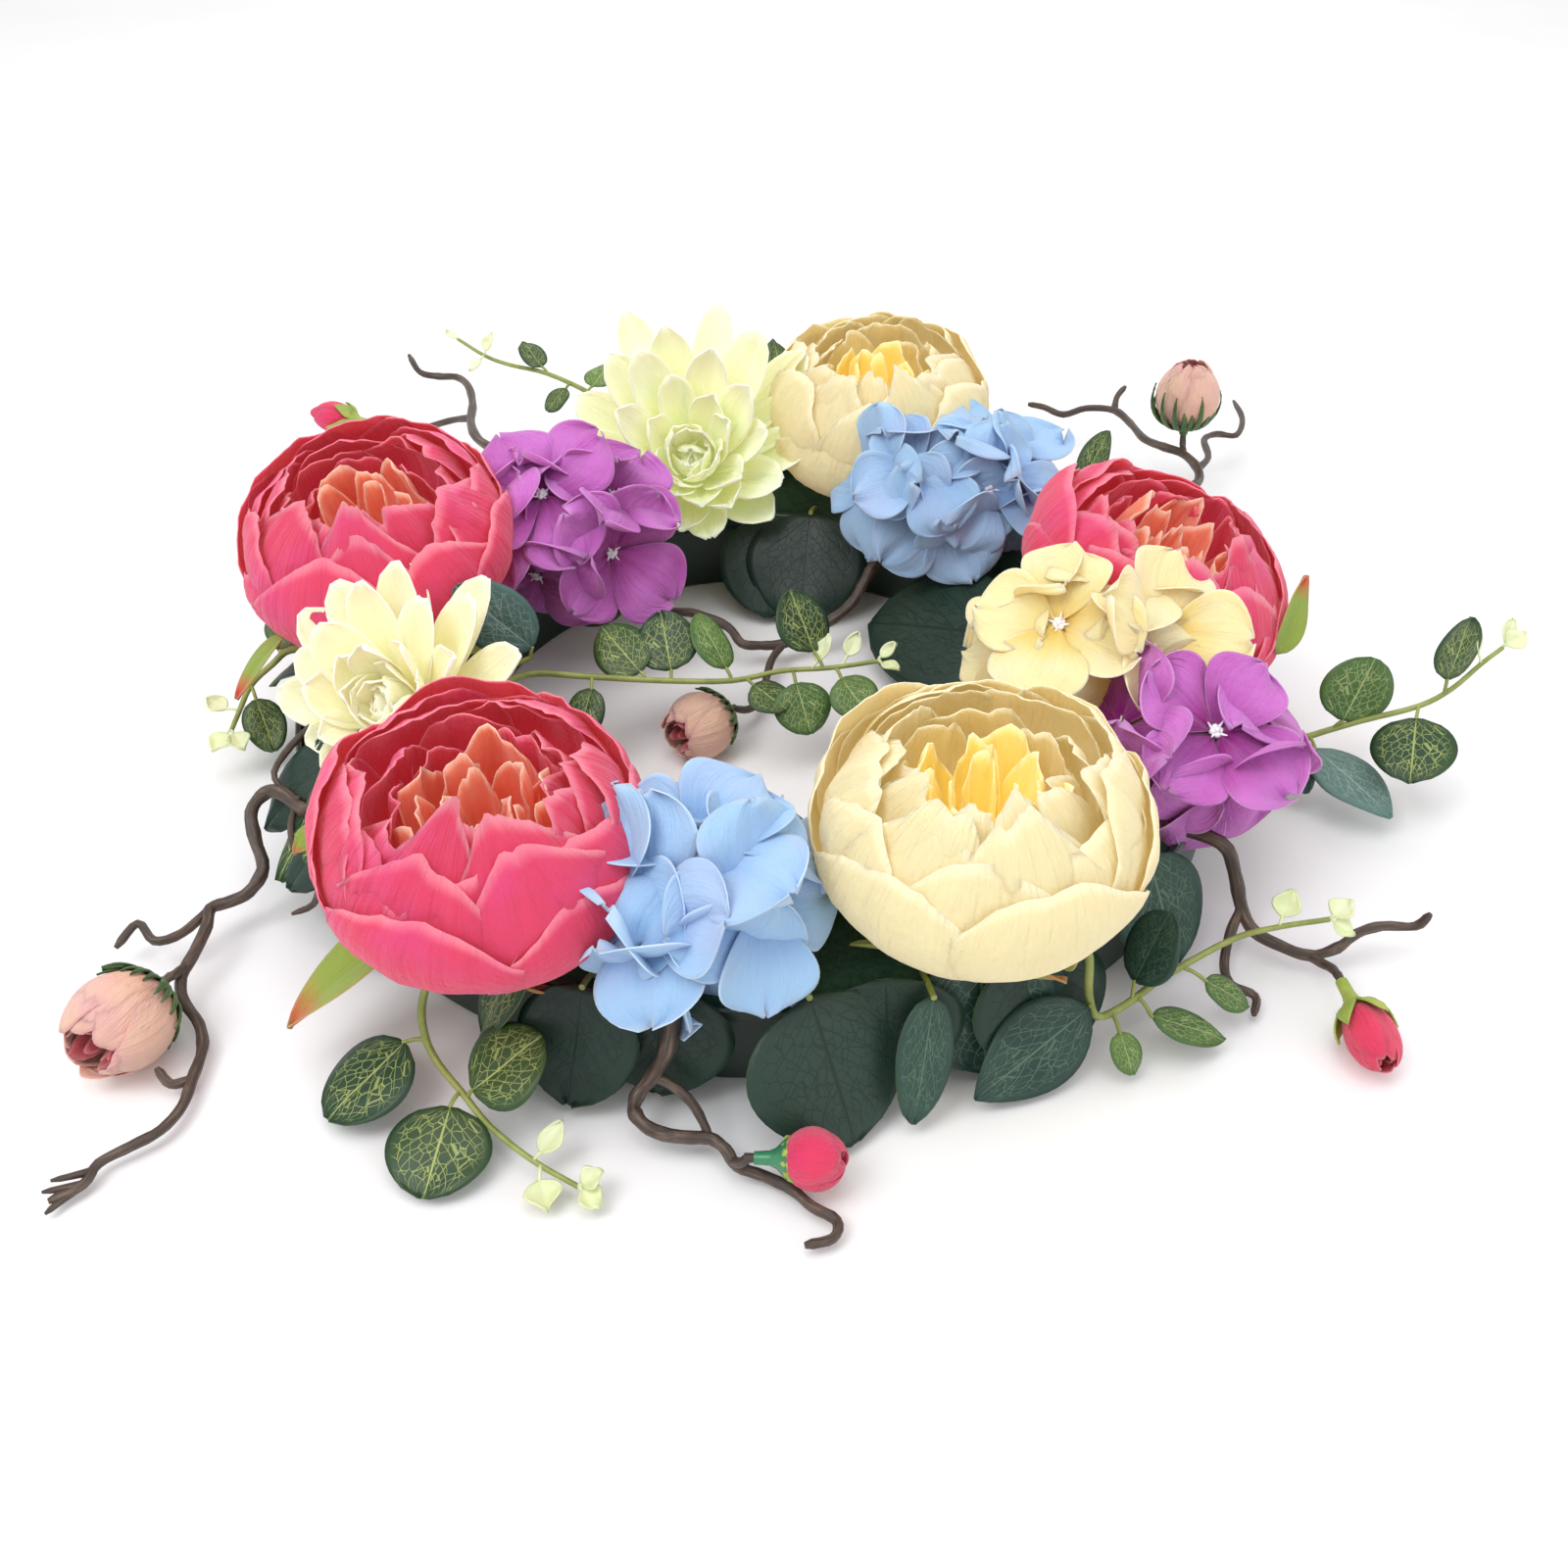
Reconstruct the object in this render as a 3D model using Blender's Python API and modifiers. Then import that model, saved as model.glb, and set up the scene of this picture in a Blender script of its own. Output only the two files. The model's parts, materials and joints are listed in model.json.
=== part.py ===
"""Artificial flower crown: a moulded ring tray with a foam ring in it, blooms on stems pushed into
the foam, and wired twigs, sprays and leaves that come out over the tray's rims. Units are metres,
+Z is up, and the origin is the centre of the head opening on the surface that the crown rests on.
Route points are in millimetres: X and Y from the point of the rim where the piece comes out, and Z
from the table. They are drawn for a rim of the DRAWN sizes and follow the rim when its size changes."""

import math

import bmesh
import bpy
from mathutils import Matrix, Vector

MM = 0.001

# Ring
HEAD_RADIUS = 96 * MM
RING_WIDTH = 56 * MM
TRAY_HEIGHT = 30 * MM
TRAY_WALL = 2.0 * MM
TRAY_FLOOR = 2.0 * MM
FOAM_FIT = 0.4 * MM
FOAM_CROWN = 1.0 * MM
RING_STEPS = 40
BLOOM_STEPS = 16
STEM_STEPS = 8
BUD_STEPS = 12

# Clearances
GAP = 0.4 * MM
PETAL_GAP = 0.6 * MM

# Stems and wires
STEM_RADIUS = 1.6 * MM
STEM_IN_FOAM = 17 * MM
CALYX_THICKNESS = 4.0 * MM
WIRE_RADIUS = 2.1 * MM
TIP_RADIUS = 1.4 * MM
SPRAY_RADIUS = 1.3 * MM
ROOT_INSET = 7 * MM
WIRE_LIFT = 4.0 * MM
PEG_RADIUS = 1.1 * MM
PEG_DEPTH = 3.0 * MM
PEG_LENGTH = 4.5 * MM

# Space kept free above the tray for the wires that cross its rims
PASSAGE_RISE = 10 * MM
PASSAGE_MARGIN = 8 * MM

# The rim that the routes are drawn for
DRAWN_INNER = 96 * MM
DRAWN_OUTER = 152 * MM
DRAWN_HEIGHT = 30 * MM

# Leaves
LEAF_THICKNESS = 0.9 * MM
STALK_HALF_WIDTH = 1.0 * MM

RING_OUTER = HEAD_RADIUS + RING_WIDTH
RING_MIDDLE = HEAD_RADIUS + RING_WIDTH / 2
FOAM_INNER = HEAD_RADIUS + TRAY_WALL + FOAM_FIT
FOAM_OUTER = RING_OUTER - TRAY_WALL - FOAM_FIT
FOAM_BOTTOM = TRAY_FLOOR + FOAM_FIT
FOAM_TOP = TRAY_HEIGHT + FOAM_CROWN
INNER_SPREAD = HEAD_RADIUS / DRAWN_INNER
OUTER_SPREAD = RING_OUTER / DRAWN_OUTER
ROUTE_RISE = TRAY_HEIGHT / DRAWN_HEIGHT

# Every bloom on a turned head: angle round the ring, offset from the ring's middle and rise above
# the rim (mm), lean and the direction it leans to (degrees), radius and height (mm), colour.
PEONIES = {
    "pink_peony_front_left": (239, 14, 11, 14, 280, 43.5, 48, "pink"),
    "cream_peony_front": (297, 7, 11, 8, 262, 45, 48, "cream"),
    "pink_peony_back_left": (167, 3, 12, 20, 255, 45, 48, "pink"),
    "pink_peony_right": (0, -8, 12, 24, 352, 45, 48, "pink"),
    "cream_peony_back": (70, 5, 12, 16, 262, 42, 47, "cream"),
}
DAHLIAS = {
    "dahlia_back": (104, -16, 14, 40, 270, 42, 26),
    "dahlia_left": (201, -10, 14, 30, 240, 36, 26),
}
# Hydrangea heads: angle, offset from the ring's middle and rise above the rim of the head's centre,
# half sizes along X, Y and Z, angle and offset of the stem's foot, colour.
HYDRANGEAS = {
    "purple_hydrangea_back": (146, -40, 26, (36, 27, 26), 143, -14, "purple"),
    "blue_hydrangea_back": (45, -30, 31, (38, 24, 24), 43, -12, "blue"),
    "cream_hydrangea_right": (338, -16, 34, (38, 25, 23), 338, -12, "butter"),
    "purple_hydrangea_right": (332, 26, 26, (32, 24, 18), 329, 10, "purple"),
    "blue_hydrangea_front": (264, 8, 26, (32, 32, 23), 265, 4, "blue"),
}

# Twigs: angle of the foot, True where it goes over the inner rim, the main route and its branches.
TWIGS = {
    "twig_left": (
        200,
        False,
        [(11, -26, 34), (0, -17, 33), (-6, -15, 31), (-10, -19, 27), (-8, -26, 22), (-5, -33, 17),
         (-8, -40, 14), (-13, -43, 13), (-18, -46, 13), (-17, -53, 13), (-18, -62, 12), (-20, -70, 10),
         (-18, -77, 8), (-12, -84, 6), (-9, -92, 5), (-9, -102, 4.5), (-9, -111, 4.5), (-12, -119, 5),
         (-18, -124, 5), (-25, -129, 4.5), (-27, -135, 4), (-34, -140, 4)],
        [[(-18, -46, 13), (-24, -55, 12), (-31, -58, 12), (-38, -51, 12), (-43, -58, 9)],
         [(-9, -102, 4.5), (-14, -104, 5), (-18, -101, 8)]],
        [(-19, -66, 11), (-20.5, -71, 12.5), (-21.5, -74, 14)],
    ),
    "twig_back_left": (
        127,
        False,
        [(-12, 16, 33), (-26, 33, 31), (-33, 52, 29), (-36, 74, 27), (-41, 93, 26), (-48, 104, 25),
         (-57, 107, 24), (-65, 107, 26), (-71, 116, 30)],
        [],
        [(-34, 58, 28.5), (-44, 69, 22), (-53, 70, 19), (-62, 66, 18), (-70, 66, 19), (-78, 69, 20)],
    ),
    "twig_back_right": (
        35,
        False,
        [(14, 8, 33), (28, 20, 30), (40, 36, 26), (51, 48, 22), (54, 60, 22), (50, 71, 23), (43, 77, 23),
         (37, 88, 21), (34, 104, 20), (29, 116, 20), (17, 118, 20), (6, 112, 20), (-2, 117, 21),
         (-9, 118, 22)],
        [[(54, 60, 22), (61, 72, 21), (63, 89, 20), (70, 96, 19), (79, 97, 18), (85, 112, 18), (85, 129, 18)],
         [(29, 116, 20), (31, 123, 23), (35, 127, 26)]],
        [(50, 71, 23), (50, 74, 25), (50, 76, 28)],
    ),
    "twig_front": (
        262,
        False,
        [(1, -5, 34), (-1, -10, 25), (-5, -12, 17), (-9, -14, 12), (-10, -18, 10), (-7, -22, 9),
         (-2, -24, 8), (4, -25, 8), (10, -25, 7.5), (14, -28, 7), (17, -32, 5.5), (24, -34, 4),
         (31, -38, 4), (36, -43, 4), (42, -47, 4), (41, -52, 4), (34, -54, 4)],
        [[(-5, -12, 17), (1, -14, 14), (6, -18, 11), (10, -25, 7.5)]],
        [(16, -31, 6), (18, -33.5, 9), (20, -34.5, 12.5)],
    ),
    "twig_right": (
        326,
        False,
        [(8, -6, 33), (13, -9, 24), (16, -13, 14), (19, -19, 10), (26, -23, 8), (34, -26, 7),
         (42, -25, 9), (48, -22, 12), (55, -21, 14), (64, -22, 15), (67, -22, 20)],
        [[(16, -13, 14), (12, -20, 9), (9, -29, 6), (10, -35, 4.5), (16, -39, 4), (14, -46, 4)]],
        [(34, -26, 7), (36.5, -30, 8), (38, -34, 10), (38.5, -38, 11)],
    ),
    "twig_inner": (
        57,
        True,
        [(-5, -13, 33), (-11, -18, 30), (-15, -22, 25), (-20, -28, 19), (-29, -33, 14), (-38, -36, 11),
         (-45, -39, 9), (-53, -40, 9), (-60, -40, 10), (-65, -34, 13), (-76, -30, 16), (-87, -29, 17),
         (-98, -24, 19), (-107, -30, 15), (-113, -30, 12), (-119, -27, 10)],
        [],
        [(-45, -39, 9), (-49, -47, 7.5), (-51, -58, 6.5), (-53, -70, 6.5), (-57, -78, 9), (-62, -80, 11)],
    ),
}
# Buds: the twig whose peg they sit on, the direction they point in, radius, length, kind.
BUDS = {
    "bud_left": ("twig_left", (-0.40, -0.91, 0.04), 14.0, 31, "peach"),
    "bud_back_left": ("twig_back_left", (-0.95, 0.3, 0.0), 7.5, 29, "red"),
    "bud_back_right": ("twig_back_right", (-0.05, 0.12, 1.0), 13.5, 30, "peach"),
    "bud_front": ("twig_front", (1.0, -0.05, 0.06), 8.8, 23, "red"),
    "bud_right": ("twig_right", (0.15, -1.0, -0.04), 8.0, 30, "red"),
    "bud_inner": ("twig_inner", (-0.72, -0.68, 0.06), 11.5, 25, "peach"),
}

# Sprays: angle of the foot, inner rim or not, stem route, and leaves as (stalk foot, blade foot,
# blade tip, width, roll in degrees about the midrib).
SPRAYS = {
    "spray_front_left": (
        236,
        False,
        [(2, -4, 34), (-1, -13, 31), (-4, -18, 22), (-3, -23, 15), (1, -29, 12), (8, -37, 11),
         (17, -47, 9), (29, -56, 7), (41, -63, 6)],
        [((-3, -23, 15), (-9, -23, 14), (-27, -42, 5), 27, 8),
         ((8, -37, 11), (6, -42, 11), (2, -65, 3.5), 28, 0),
         ((10, -39, 10.5), (12, -40, 15), (30, -30, 25), 27, 0),
         ((29, -56, 7), (31, -55, 9), (36, -47, 12), 7, 0),
         ((31, -57, 7), (31, -61, 6), (34, -69, 4.5), 10, 0)],
    ),
    "spray_right": (
        346,
        False,
        [(4, 0, 34), (12, 4, 31), (22, 10, 22), (31, 13, 18), (39, 14, 20), (49, 14, 24), (66, 14, 30),
         (77, 18, 34), (88, 26, 38), (96, 31, 41)],
        [((40, 14, 20), (43, 14, 24), (50, 20, 45), 25, 50),
         ((66, 14, 30), (64, 9, 29), (57, -14, 21), 26, 12),
         ((74, 16, 33), (75, 19, 37), (80, 27, 56), 21, 60),
         ((33, 13, 18), (34, 8, 17), (53, -18, 10), 22, 0),
         ((24, 11, 21), (25, 8, 19), (30, -5, 9), 12, 0),
         ((88, 26, 38), (87, 28, 41), (85, 34, 50), 9, 40)],
    ),
    "spray_inner": (
        198,
        True,
        [(2, 4, 35), (9, 12, 36), (18, 18, 35), (34, 19, 33), (60, 18, 32), (82, 18, 32), (98, 22, 33),
         (114, 21, 35), (130, 22, 37)],
        [((54, 18, 32), (52, 20, 34), (38, 36, 41), 15, -25),
         ((62, 18, 32), (62, 21, 34), (58, 38, 46), 17, -10),
         ((82, 18, 32), (80, 22, 34), (70, 36, 46), 12, 30),
         ((86, 19, 32), (89, 17, 31), (100, 10, 26), 12, 0),
         ((112, 21, 35), (109, 26, 38), (101, 40, 53), 19, 20),
         ((116, 21, 35), (118, 18, 33), (127, 7, 25), 15, 10),
         ((102, 22, 33), (103, 18, 31), (108, 6, 19), 18, 0),
         ((36, 19, 33), (36, 15, 31), (32, 1, 20), 13, 0)],
    ),
    "spray_back_left": (
        112,
        False,
        [(-3, 12, 33), (-9, 30, 33), (-17, 50, 33), (-39, 71, 33), (-57, 80, 33), (-69, 87, 34), (-83, 100, 36)],
        [((-39, 71, 33), (-42, 74, 35), (-51, 84, 42), 12, 0),
         ((-28, 61, 33), (-30, 59, 32), (-38, 50, 26), 11, 0),
         ((-20, 53, 33), (-18, 57, 34), (-11, 72, 38), 15, 0)],
    ),
    "spray_left": (
        178,
        False,
        [(-6, -1, 33), (-12, -5, 30), (-19, -10, 25), (-22, -18, 20), (-23, -26, 18)],
        [((-8, -2, 32), (-11, 1, 31), (-15, 30, 28), 14, 35),
         ((-19, -10, 25), (-17, -14, 22), (-10, -27, 10), 14, 0),
         ((-22, -18, 20), (-26, -18, 21), (-33, -16, 24), 8, 0)],
    ),
    "spray_front_right": (
        304,
        False,
        [(4, -6, 33), (5, -13, 22), (8, -15, 15), (16, -11, 15), (26, -4, 17), (38, 3, 19), (50, 8, 22),
         (62, 11, 23), (76, 12, 25)],
        [((6, -14, 19), (5, -16, 20), (-27, -36, 6), 25, -50),
         ((18, -10, 15), (19, -6, 19), (28, 4, 36), 22, -30),
         ((20, -9, 16), (23, -14, 14), (44, -16, 6), 13, 0),
         ((12, -13, 15), (14, -18, 12), (17, -27, 5), 9, 0),
         ((34, 0, 18), (40, -2, 15), (52, -7, 10), 11, 0)],
    ),
}
# A short sprig wedged between the blooms at the left, in the same form. It keeps its distance from
# the pink peony beside it, so its angle opens as the ring gets smaller.
SPRIG_BESIDE_PEONY = 23 * (DRAWN_INNER + DRAWN_OUTER) / 2 / RING_MIDDLE
SPRAYS["sprig_silver"] = (
    PEONIES["pink_peony_back_left"][0] + SPRIG_BESIDE_PEONY,
    True,
    [(-2, -1, 35), (10, -1, 40), (21, 0, 45)],
    [((21, 0, 45), (22, 0, 49), (-2, 2, 73), 24, -70)],
)
# Large leaves: angle of the foot, inner rim or not, stalk foot, blade foot, blade tip, width, roll.
LEAVES = {
    "leaf_inner_right": (12, True, (6, -1, 33), (-9, -4, 31), (-55, 29, 13), 48, -36),
    "leaf_inner_back": (78, True, (0, 5, 34), (-2, -5, 36), (-6, -32, 4.5), 46, 0),
    "leaf_inner_back_side": (96, True, (8, 5, 33), (12, -5, 33), (12, -30, 2.5), 38, 0),
    "leaf_front_center": (275, False, (0, 6, 33), (1, -2, 37), (13, -23, 3.5), 47, 0),
    "leaf_front_left": (253, False, (2, 6, 33), (0, -2.5, 35), (-5, -17, 4), 35, 0),
    "leaf_front_right": (299, False, (0, 7, 33), (0, -1, 35), (8, -15, 3), 44, 0),
    "leaf_front_folded": (287, False, (0, 6, 33), (2, -5, 34), (-3, -24, 5), 16, -30),
}

COLOURS = {
    "tray": (0.02, 0.07, 0.04),
    "foam": (0.05, 0.12, 0.06),
    "pink": (0.85, 0.12, 0.25),
    "pink_heart": (0.95, 0.35, 0.32),
    "cream": (0.93, 0.88, 0.68),
    "cream_heart": (0.95, 0.82, 0.45),
    "dahlia": (0.87, 0.90, 0.68),
    "purple": (0.50, 0.14, 0.62),
    "blue": (0.42, 0.65, 0.92),
    "butter": (0.95, 0.86, 0.60),
    "stem": (0.32, 0.42, 0.12),
    "twig": (0.13, 0.08, 0.055),
    "peach": (0.93, 0.55, 0.47),
    "red": (0.86, 0.12, 0.2),
    "leaf": (0.04, 0.14, 0.08),
    "spray": (0.16, 0.26, 0.1),
}


def clear_scene():
    for obj in list(bpy.data.objects):
        bpy.data.objects.remove(obj, do_unlink=True)


def new_collection(name):
    collection = bpy.data.collections.new(name)
    bpy.context.scene.collection.children.link(collection)
    return collection


def colour_material(name, roughness=0.6):
    material = bpy.data.materials.get(name)
    if material is None:
        material = bpy.data.materials.new(name)
        material.use_nodes = True
        shader = material.node_tree.nodes["Principled BSDF"]
        shader.inputs["Base Color"].default_value = (*COLOURS[name], 1.0)
        shader.inputs["Roughness"].default_value = roughness
    return material


def add_mesh(name, mesh, colour=None):
    """An object for the mesh: a part of the crown if it has a colour, and a cutter if not."""
    obj = bpy.data.objects.new(name, mesh)
    if colour:
        PARTS.objects.link(obj)
        mesh.materials.append(colour_material(colour))
    else:
        CUTTERS.objects.link(obj)
        obj.hide_render = True
        obj.display_type = "WIRE"
    return obj


def mesh_from(name, build):
    mesh = bpy.data.meshes.new(name)
    shape = bmesh.new()
    build(shape)
    shape.to_mesh(mesh)
    shape.free()
    return mesh


def turned(name, profile, steps, colour=None, matrix=None, ring=False):
    """A solid turned about local Z from (radius, height) points that run down its outer side."""

    def build(shape):
        points = [shape.verts.new((radius, 0, height)) for radius, height in profile]
        pairs = list(zip(points, points[1:]))
        if ring:
            pairs.append((points[-1], points[0]))
        for pair in pairs:
            shape.edges.new(pair)

    obj = add_mesh(name, mesh_from(name, build), colour)
    screw = obj.modifiers.new("Turn", "SCREW")
    screw.steps = screw.render_steps = steps
    screw.use_merge_vertices = True
    screw.merge_threshold = 0.00001
    if matrix is not None:
        obj.matrix_world = matrix
    return obj


def boolean(target, operation, other):
    modifier = target.modifiers.new(operation.title(), "BOOLEAN")
    modifier.operation = operation
    modifier.object = other
    modifier.use_self = operation == "UNION"


def direction(angle, elevation=0.0):
    """A unit vector at this angle round Z and this elevation, in degrees."""
    turn, rise = math.radians(angle), math.radians(elevation)
    return Vector((math.cos(turn) * math.cos(rise), math.sin(turn) * math.cos(rise), math.sin(rise)))


def ring_point(angle, offset, rise):
    """A point by its offset from the ring's middle circle and its rise above the rim, in mm."""
    place = direction(angle) * (RING_MIDDLE + offset * MM)
    return place + Vector((0, 0, TRAY_HEIGHT + rise * MM))


def rim_anchor(angle, inner):
    """The point under the rim that a route is measured from, and how far the route is spread."""
    if inner:
        return direction(angle) * HEAD_RADIUS, INNER_SPREAD
    return direction(angle) * RING_OUTER, OUTER_SPREAD


def foot_point(angle, inner):
    """Where a wire leaves the foam: just inside the rim that it crosses."""
    radius = HEAD_RADIUS + ROOT_INSET if inner else RING_OUTER - ROOT_INSET
    return direction(angle) * radius + Vector((0, 0, TRAY_HEIGHT + WIRE_LIFT))


def from_rim(anchor, spread, points):
    """Route points, from millimetres along X and Y from the rim's anchor, and above the table."""
    scale = Vector((spread, spread, ROUTE_RISE)) * MM
    return [anchor + Vector(point) * scale for point in points]


def along(place, axis):
    """The matrix that puts local Z along the axis, with the origin at the place."""
    return Matrix.Translation(place) @ axis.to_track_quat("Z", "Y").to_matrix().to_4x4()


def tube(name, points, start_radius, end_radius, colour=None):
    """A tapering wire: a bevelled curve turned into a mesh with its caps welded on."""
    curve = bpy.data.curves.new(name, "CURVE")
    curve.dimensions = "3D"
    curve.bevel_depth = 1.0
    curve.bevel_resolution = 1
    curve.use_fill_caps = True
    spline = curve.splines.new("POLY")
    spline.points.add(len(points) - 1)
    for index, point in enumerate(points):
        share = index / (len(points) - 1)
        spline.points[index].co = (*point, 1)
        spline.points[index].radius = start_radius + (end_radius - start_radius) * share
    guide = bpy.data.objects.new(name, curve)
    CUTTERS.objects.link(guide)
    graph = bpy.context.evaluated_depsgraph_get()
    mesh = bpy.data.meshes.new_from_object(guide.evaluated_get(graph))
    bpy.data.objects.remove(guide)
    shape = bmesh.new()
    shape.from_mesh(mesh)
    bmesh.ops.remove_doubles(shape, verts=shape.verts, dist=0.00001)
    shape.to_mesh(mesh)
    shape.free()
    mesh.materials.clear()
    return add_mesh(name, mesh, colour)


def leaf_sections(stalk, foot, tip, width, roll, pointed):
    """Centre, half width and half thickness at each station from the stalk's foot to the tip."""
    run = tip - foot
    across = run.cross(Vector((0, 0, 1))).normalized()
    across = Matrix.Rotation(math.radians(roll), 3, run.normalized()) @ across
    face = across.cross(run).normalized()
    stations = [(stalk.lerp(foot, -0.1), STALK_HALF_WIDTH), (stalk.lerp(foot, 0.6), STALK_HALF_WIDTH)]
    for share in (0.03, 0.22, 0.5, 0.78, 0.97):
        half = width / 2 * math.sin(math.pi * share**pointed) ** 0.6
        stations.append((foot.lerp(tip, share), max(half, STALK_HALF_WIDTH / 2)))
    return [(centre, across * half, face * LEAF_THICKNESS) for centre, half in stations]


def leaf(name, stalk, foot, tip, width, roll, colour=None, pointed=1.0):
    """A leaf and its stalk: a loft through lens-shaped sections."""

    def build(shape):
        rings = []
        for centre, across, face in leaf_sections(stalk, foot, tip, width, roll, pointed):
            corners = (centre + across, centre + face, centre - across, centre - face)
            rings.append([shape.verts.new(corner) for corner in corners])
        for ring, after in zip(rings, rings[1:]):
            for side in range(4):
                other = (side + 1) % 4
                shape.faces.new((ring[side], ring[other], after[other], after[side]))
        shape.faces.new(rings[0])
        shape.faces.new(rings[-1][::-1])
        bmesh.ops.recalc_face_normals(shape, faces=shape.faces)

    return add_mesh(name, mesh_from(name, build), colour)


def base_tray():
    profile = [
        (RING_OUTER, TRAY_HEIGHT),
        (RING_OUTER, 0),
        (HEAD_RADIUS, 0),
        (HEAD_RADIUS, TRAY_HEIGHT),
        (HEAD_RADIUS + TRAY_WALL, TRAY_HEIGHT),
        (HEAD_RADIUS + TRAY_WALL, TRAY_FLOOR),
        (RING_OUTER - TRAY_WALL, TRAY_FLOOR),
        (RING_OUTER - TRAY_WALL, TRAY_HEIGHT),
    ]
    return turned("base_tray", profile, RING_STEPS, "tray", ring=True)


def foam_ring():
    profile = [
        (RING_MIDDLE, FOAM_TOP),
        (FOAM_OUTER, TRAY_HEIGHT),
        (FOAM_OUTER, FOAM_BOTTOM),
        (FOAM_INNER, FOAM_BOTTOM),
        (FOAM_INNER, TRAY_HEIGHT),
    ]
    return turned("foam_ring", profile, RING_STEPS, "foam", ring=True)


def passage():
    """The space over the ring that heads keep out of, so that wires can cross the rims."""
    low, high = TRAY_FLOOR, TRAY_HEIGHT + PASSAGE_RISE
    inner, outer = HEAD_RADIUS - PASSAGE_MARGIN, RING_OUTER + PASSAGE_MARGIN
    profile = [(outer, high), (outer, low), (inner, low), (inner, high)]
    return turned("passage", profile, RING_STEPS, ring=True)


def stem_hole(foam, name, place, axis, length):
    """Cuts the hole for a stem that runs from the place down into the foam."""
    radius = STEM_RADIUS + GAP
    profile = [(0, 0), (radius, 0), (radius, -length - GAP), (0, -length - GAP)]
    cutter = turned(f"{name}_hole", profile, STEM_STEPS, matrix=along(place, axis))
    boolean(foam, "DIFFERENCE", cutter)
    return cutter


def calyx_and_stem(foam, name, place, axis, calyx_radius, colour="stem"):
    """A green calyx under the bloom with a peg up into it and a stem down into the foam."""
    above_foam = (place.z - TRAY_HEIGHT) / axis.z
    length = above_foam + STEM_IN_FOAM
    profile = [
        (0, PEG_DEPTH),
        (STEM_RADIUS, PEG_DEPTH),
        (STEM_RADIUS, -GAP),
        (calyx_radius, -GAP),
        (calyx_radius * 0.45, -CALYX_THICKNESS),
        (STEM_RADIUS, -CALYX_THICKNESS - STEM_RADIUS),
        (STEM_RADIUS, -length),
        (0, -length),
    ]
    stem_hole(foam, name, place, axis, length)
    return turned(f"{name}_stem", profile, STEM_STEPS, colour, along(place, axis))


def peony(foam, name, angle, offset, rise, lean, toward, radius, height, colour):
    """Outer petals as a closed cup, the heart in its mouth, and the calyx with its stem."""
    place = ring_point(angle, offset, rise)
    axis = direction(toward, 90 - lean)
    radius, height = radius * MM, height * MM
    heart_floor, mouth = height * 0.50, radius * 0.56
    socket = STEM_RADIUS + GAP
    cup = [
        (0, heart_floor),
        (mouth * 0.6, heart_floor + GAP),
        (mouth, height * 0.72),
        (radius * 0.68, height * 0.97),
        (radius * 0.80, height),
        (radius * 0.97, height * 0.74),
        (radius, height * 0.50),
        (radius * 0.91, height * 0.25),
        (radius * 0.66, height * 0.07),
        (radius * 0.34, 0),
        (socket, 0),
        (socket, PEG_DEPTH + GAP),
        (0, PEG_DEPTH + GAP),
    ]
    heart = [
        (0, height * 0.90),
        (mouth * 0.50, height * 0.87),
        (mouth * 0.86, height * 0.75),
        (mouth * 0.92, height * 0.70),
        (mouth * 0.5, heart_floor + 2 * GAP),
        (0, heart_floor + GAP),
    ]
    turned(f"{name}_petals", cup, BLOOM_STEPS, colour, along(place, axis))
    turned(f"{name}_heart", heart, BLOOM_STEPS - 4, f"{colour}_heart", along(place, axis))
    calyx_and_stem(foam, name, place, axis, radius * 0.30)
    envelope = [
        (0, height + PETAL_GAP),
        (radius * 0.80 + PETAL_GAP, height + PETAL_GAP),
        (radius * 0.97 + PETAL_GAP, height * 0.75 + PETAL_GAP),
        (radius + 1.5 * PETAL_GAP, height * 0.50),
        (radius * 0.91 + 1.5 * PETAL_GAP, height * 0.25 - PETAL_GAP),
        (radius * 0.66 + PETAL_GAP, height * 0.07 - PETAL_GAP),
        (radius * 0.34 + PETAL_GAP, -CALYX_THICKNESS - PETAL_GAP),
        (0, -CALYX_THICKNESS - PETAL_GAP),
    ]
    return turned(f"{name}_envelope", envelope, BLOOM_STEPS, matrix=along(place, axis))


def dahlia(foam, name, angle, offset, rise, lean, toward, radius, height):
    """An open dish of petals with a raised middle, and its stem."""
    place = ring_point(angle, offset, rise)
    axis = direction(toward, 90 - lean)
    radius, height = radius * MM, height * MM
    socket = STEM_RADIUS + GAP
    dish = [
        (0, height * 0.80),
        (radius * 0.26, height * 0.74),
        (radius * 0.42, height * 0.50),
        (radius * 0.70, height * 0.66),
        (radius * 0.95, height),
        (radius, height * 0.94),
        (radius * 0.74, height * 0.34),
        (radius * 0.36, 0),
        (socket, 0),
        (socket, PEG_DEPTH + GAP),
        (0, PEG_DEPTH + GAP),
    ]
    calyx_and_stem(foam, name, place, axis, radius * 0.26)
    envelope = [
        (0, height + PETAL_GAP),
        (radius + 2 * PETAL_GAP, height + PETAL_GAP),
        (radius + 2 * PETAL_GAP, height * 0.88),
        (radius * 0.76 + 2 * PETAL_GAP, height * 0.28),
        (radius * 0.38 + PETAL_GAP, -CALYX_THICKNESS),
        (0, -CALYX_THICKNESS - PETAL_GAP),
    ]
    petals = turned(f"{name}_petals", dish, BLOOM_STEPS, "dahlia", along(place, axis))
    return petals, turned(f"{name}_envelope", envelope, BLOOM_STEPS, matrix=along(place, axis))


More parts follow.
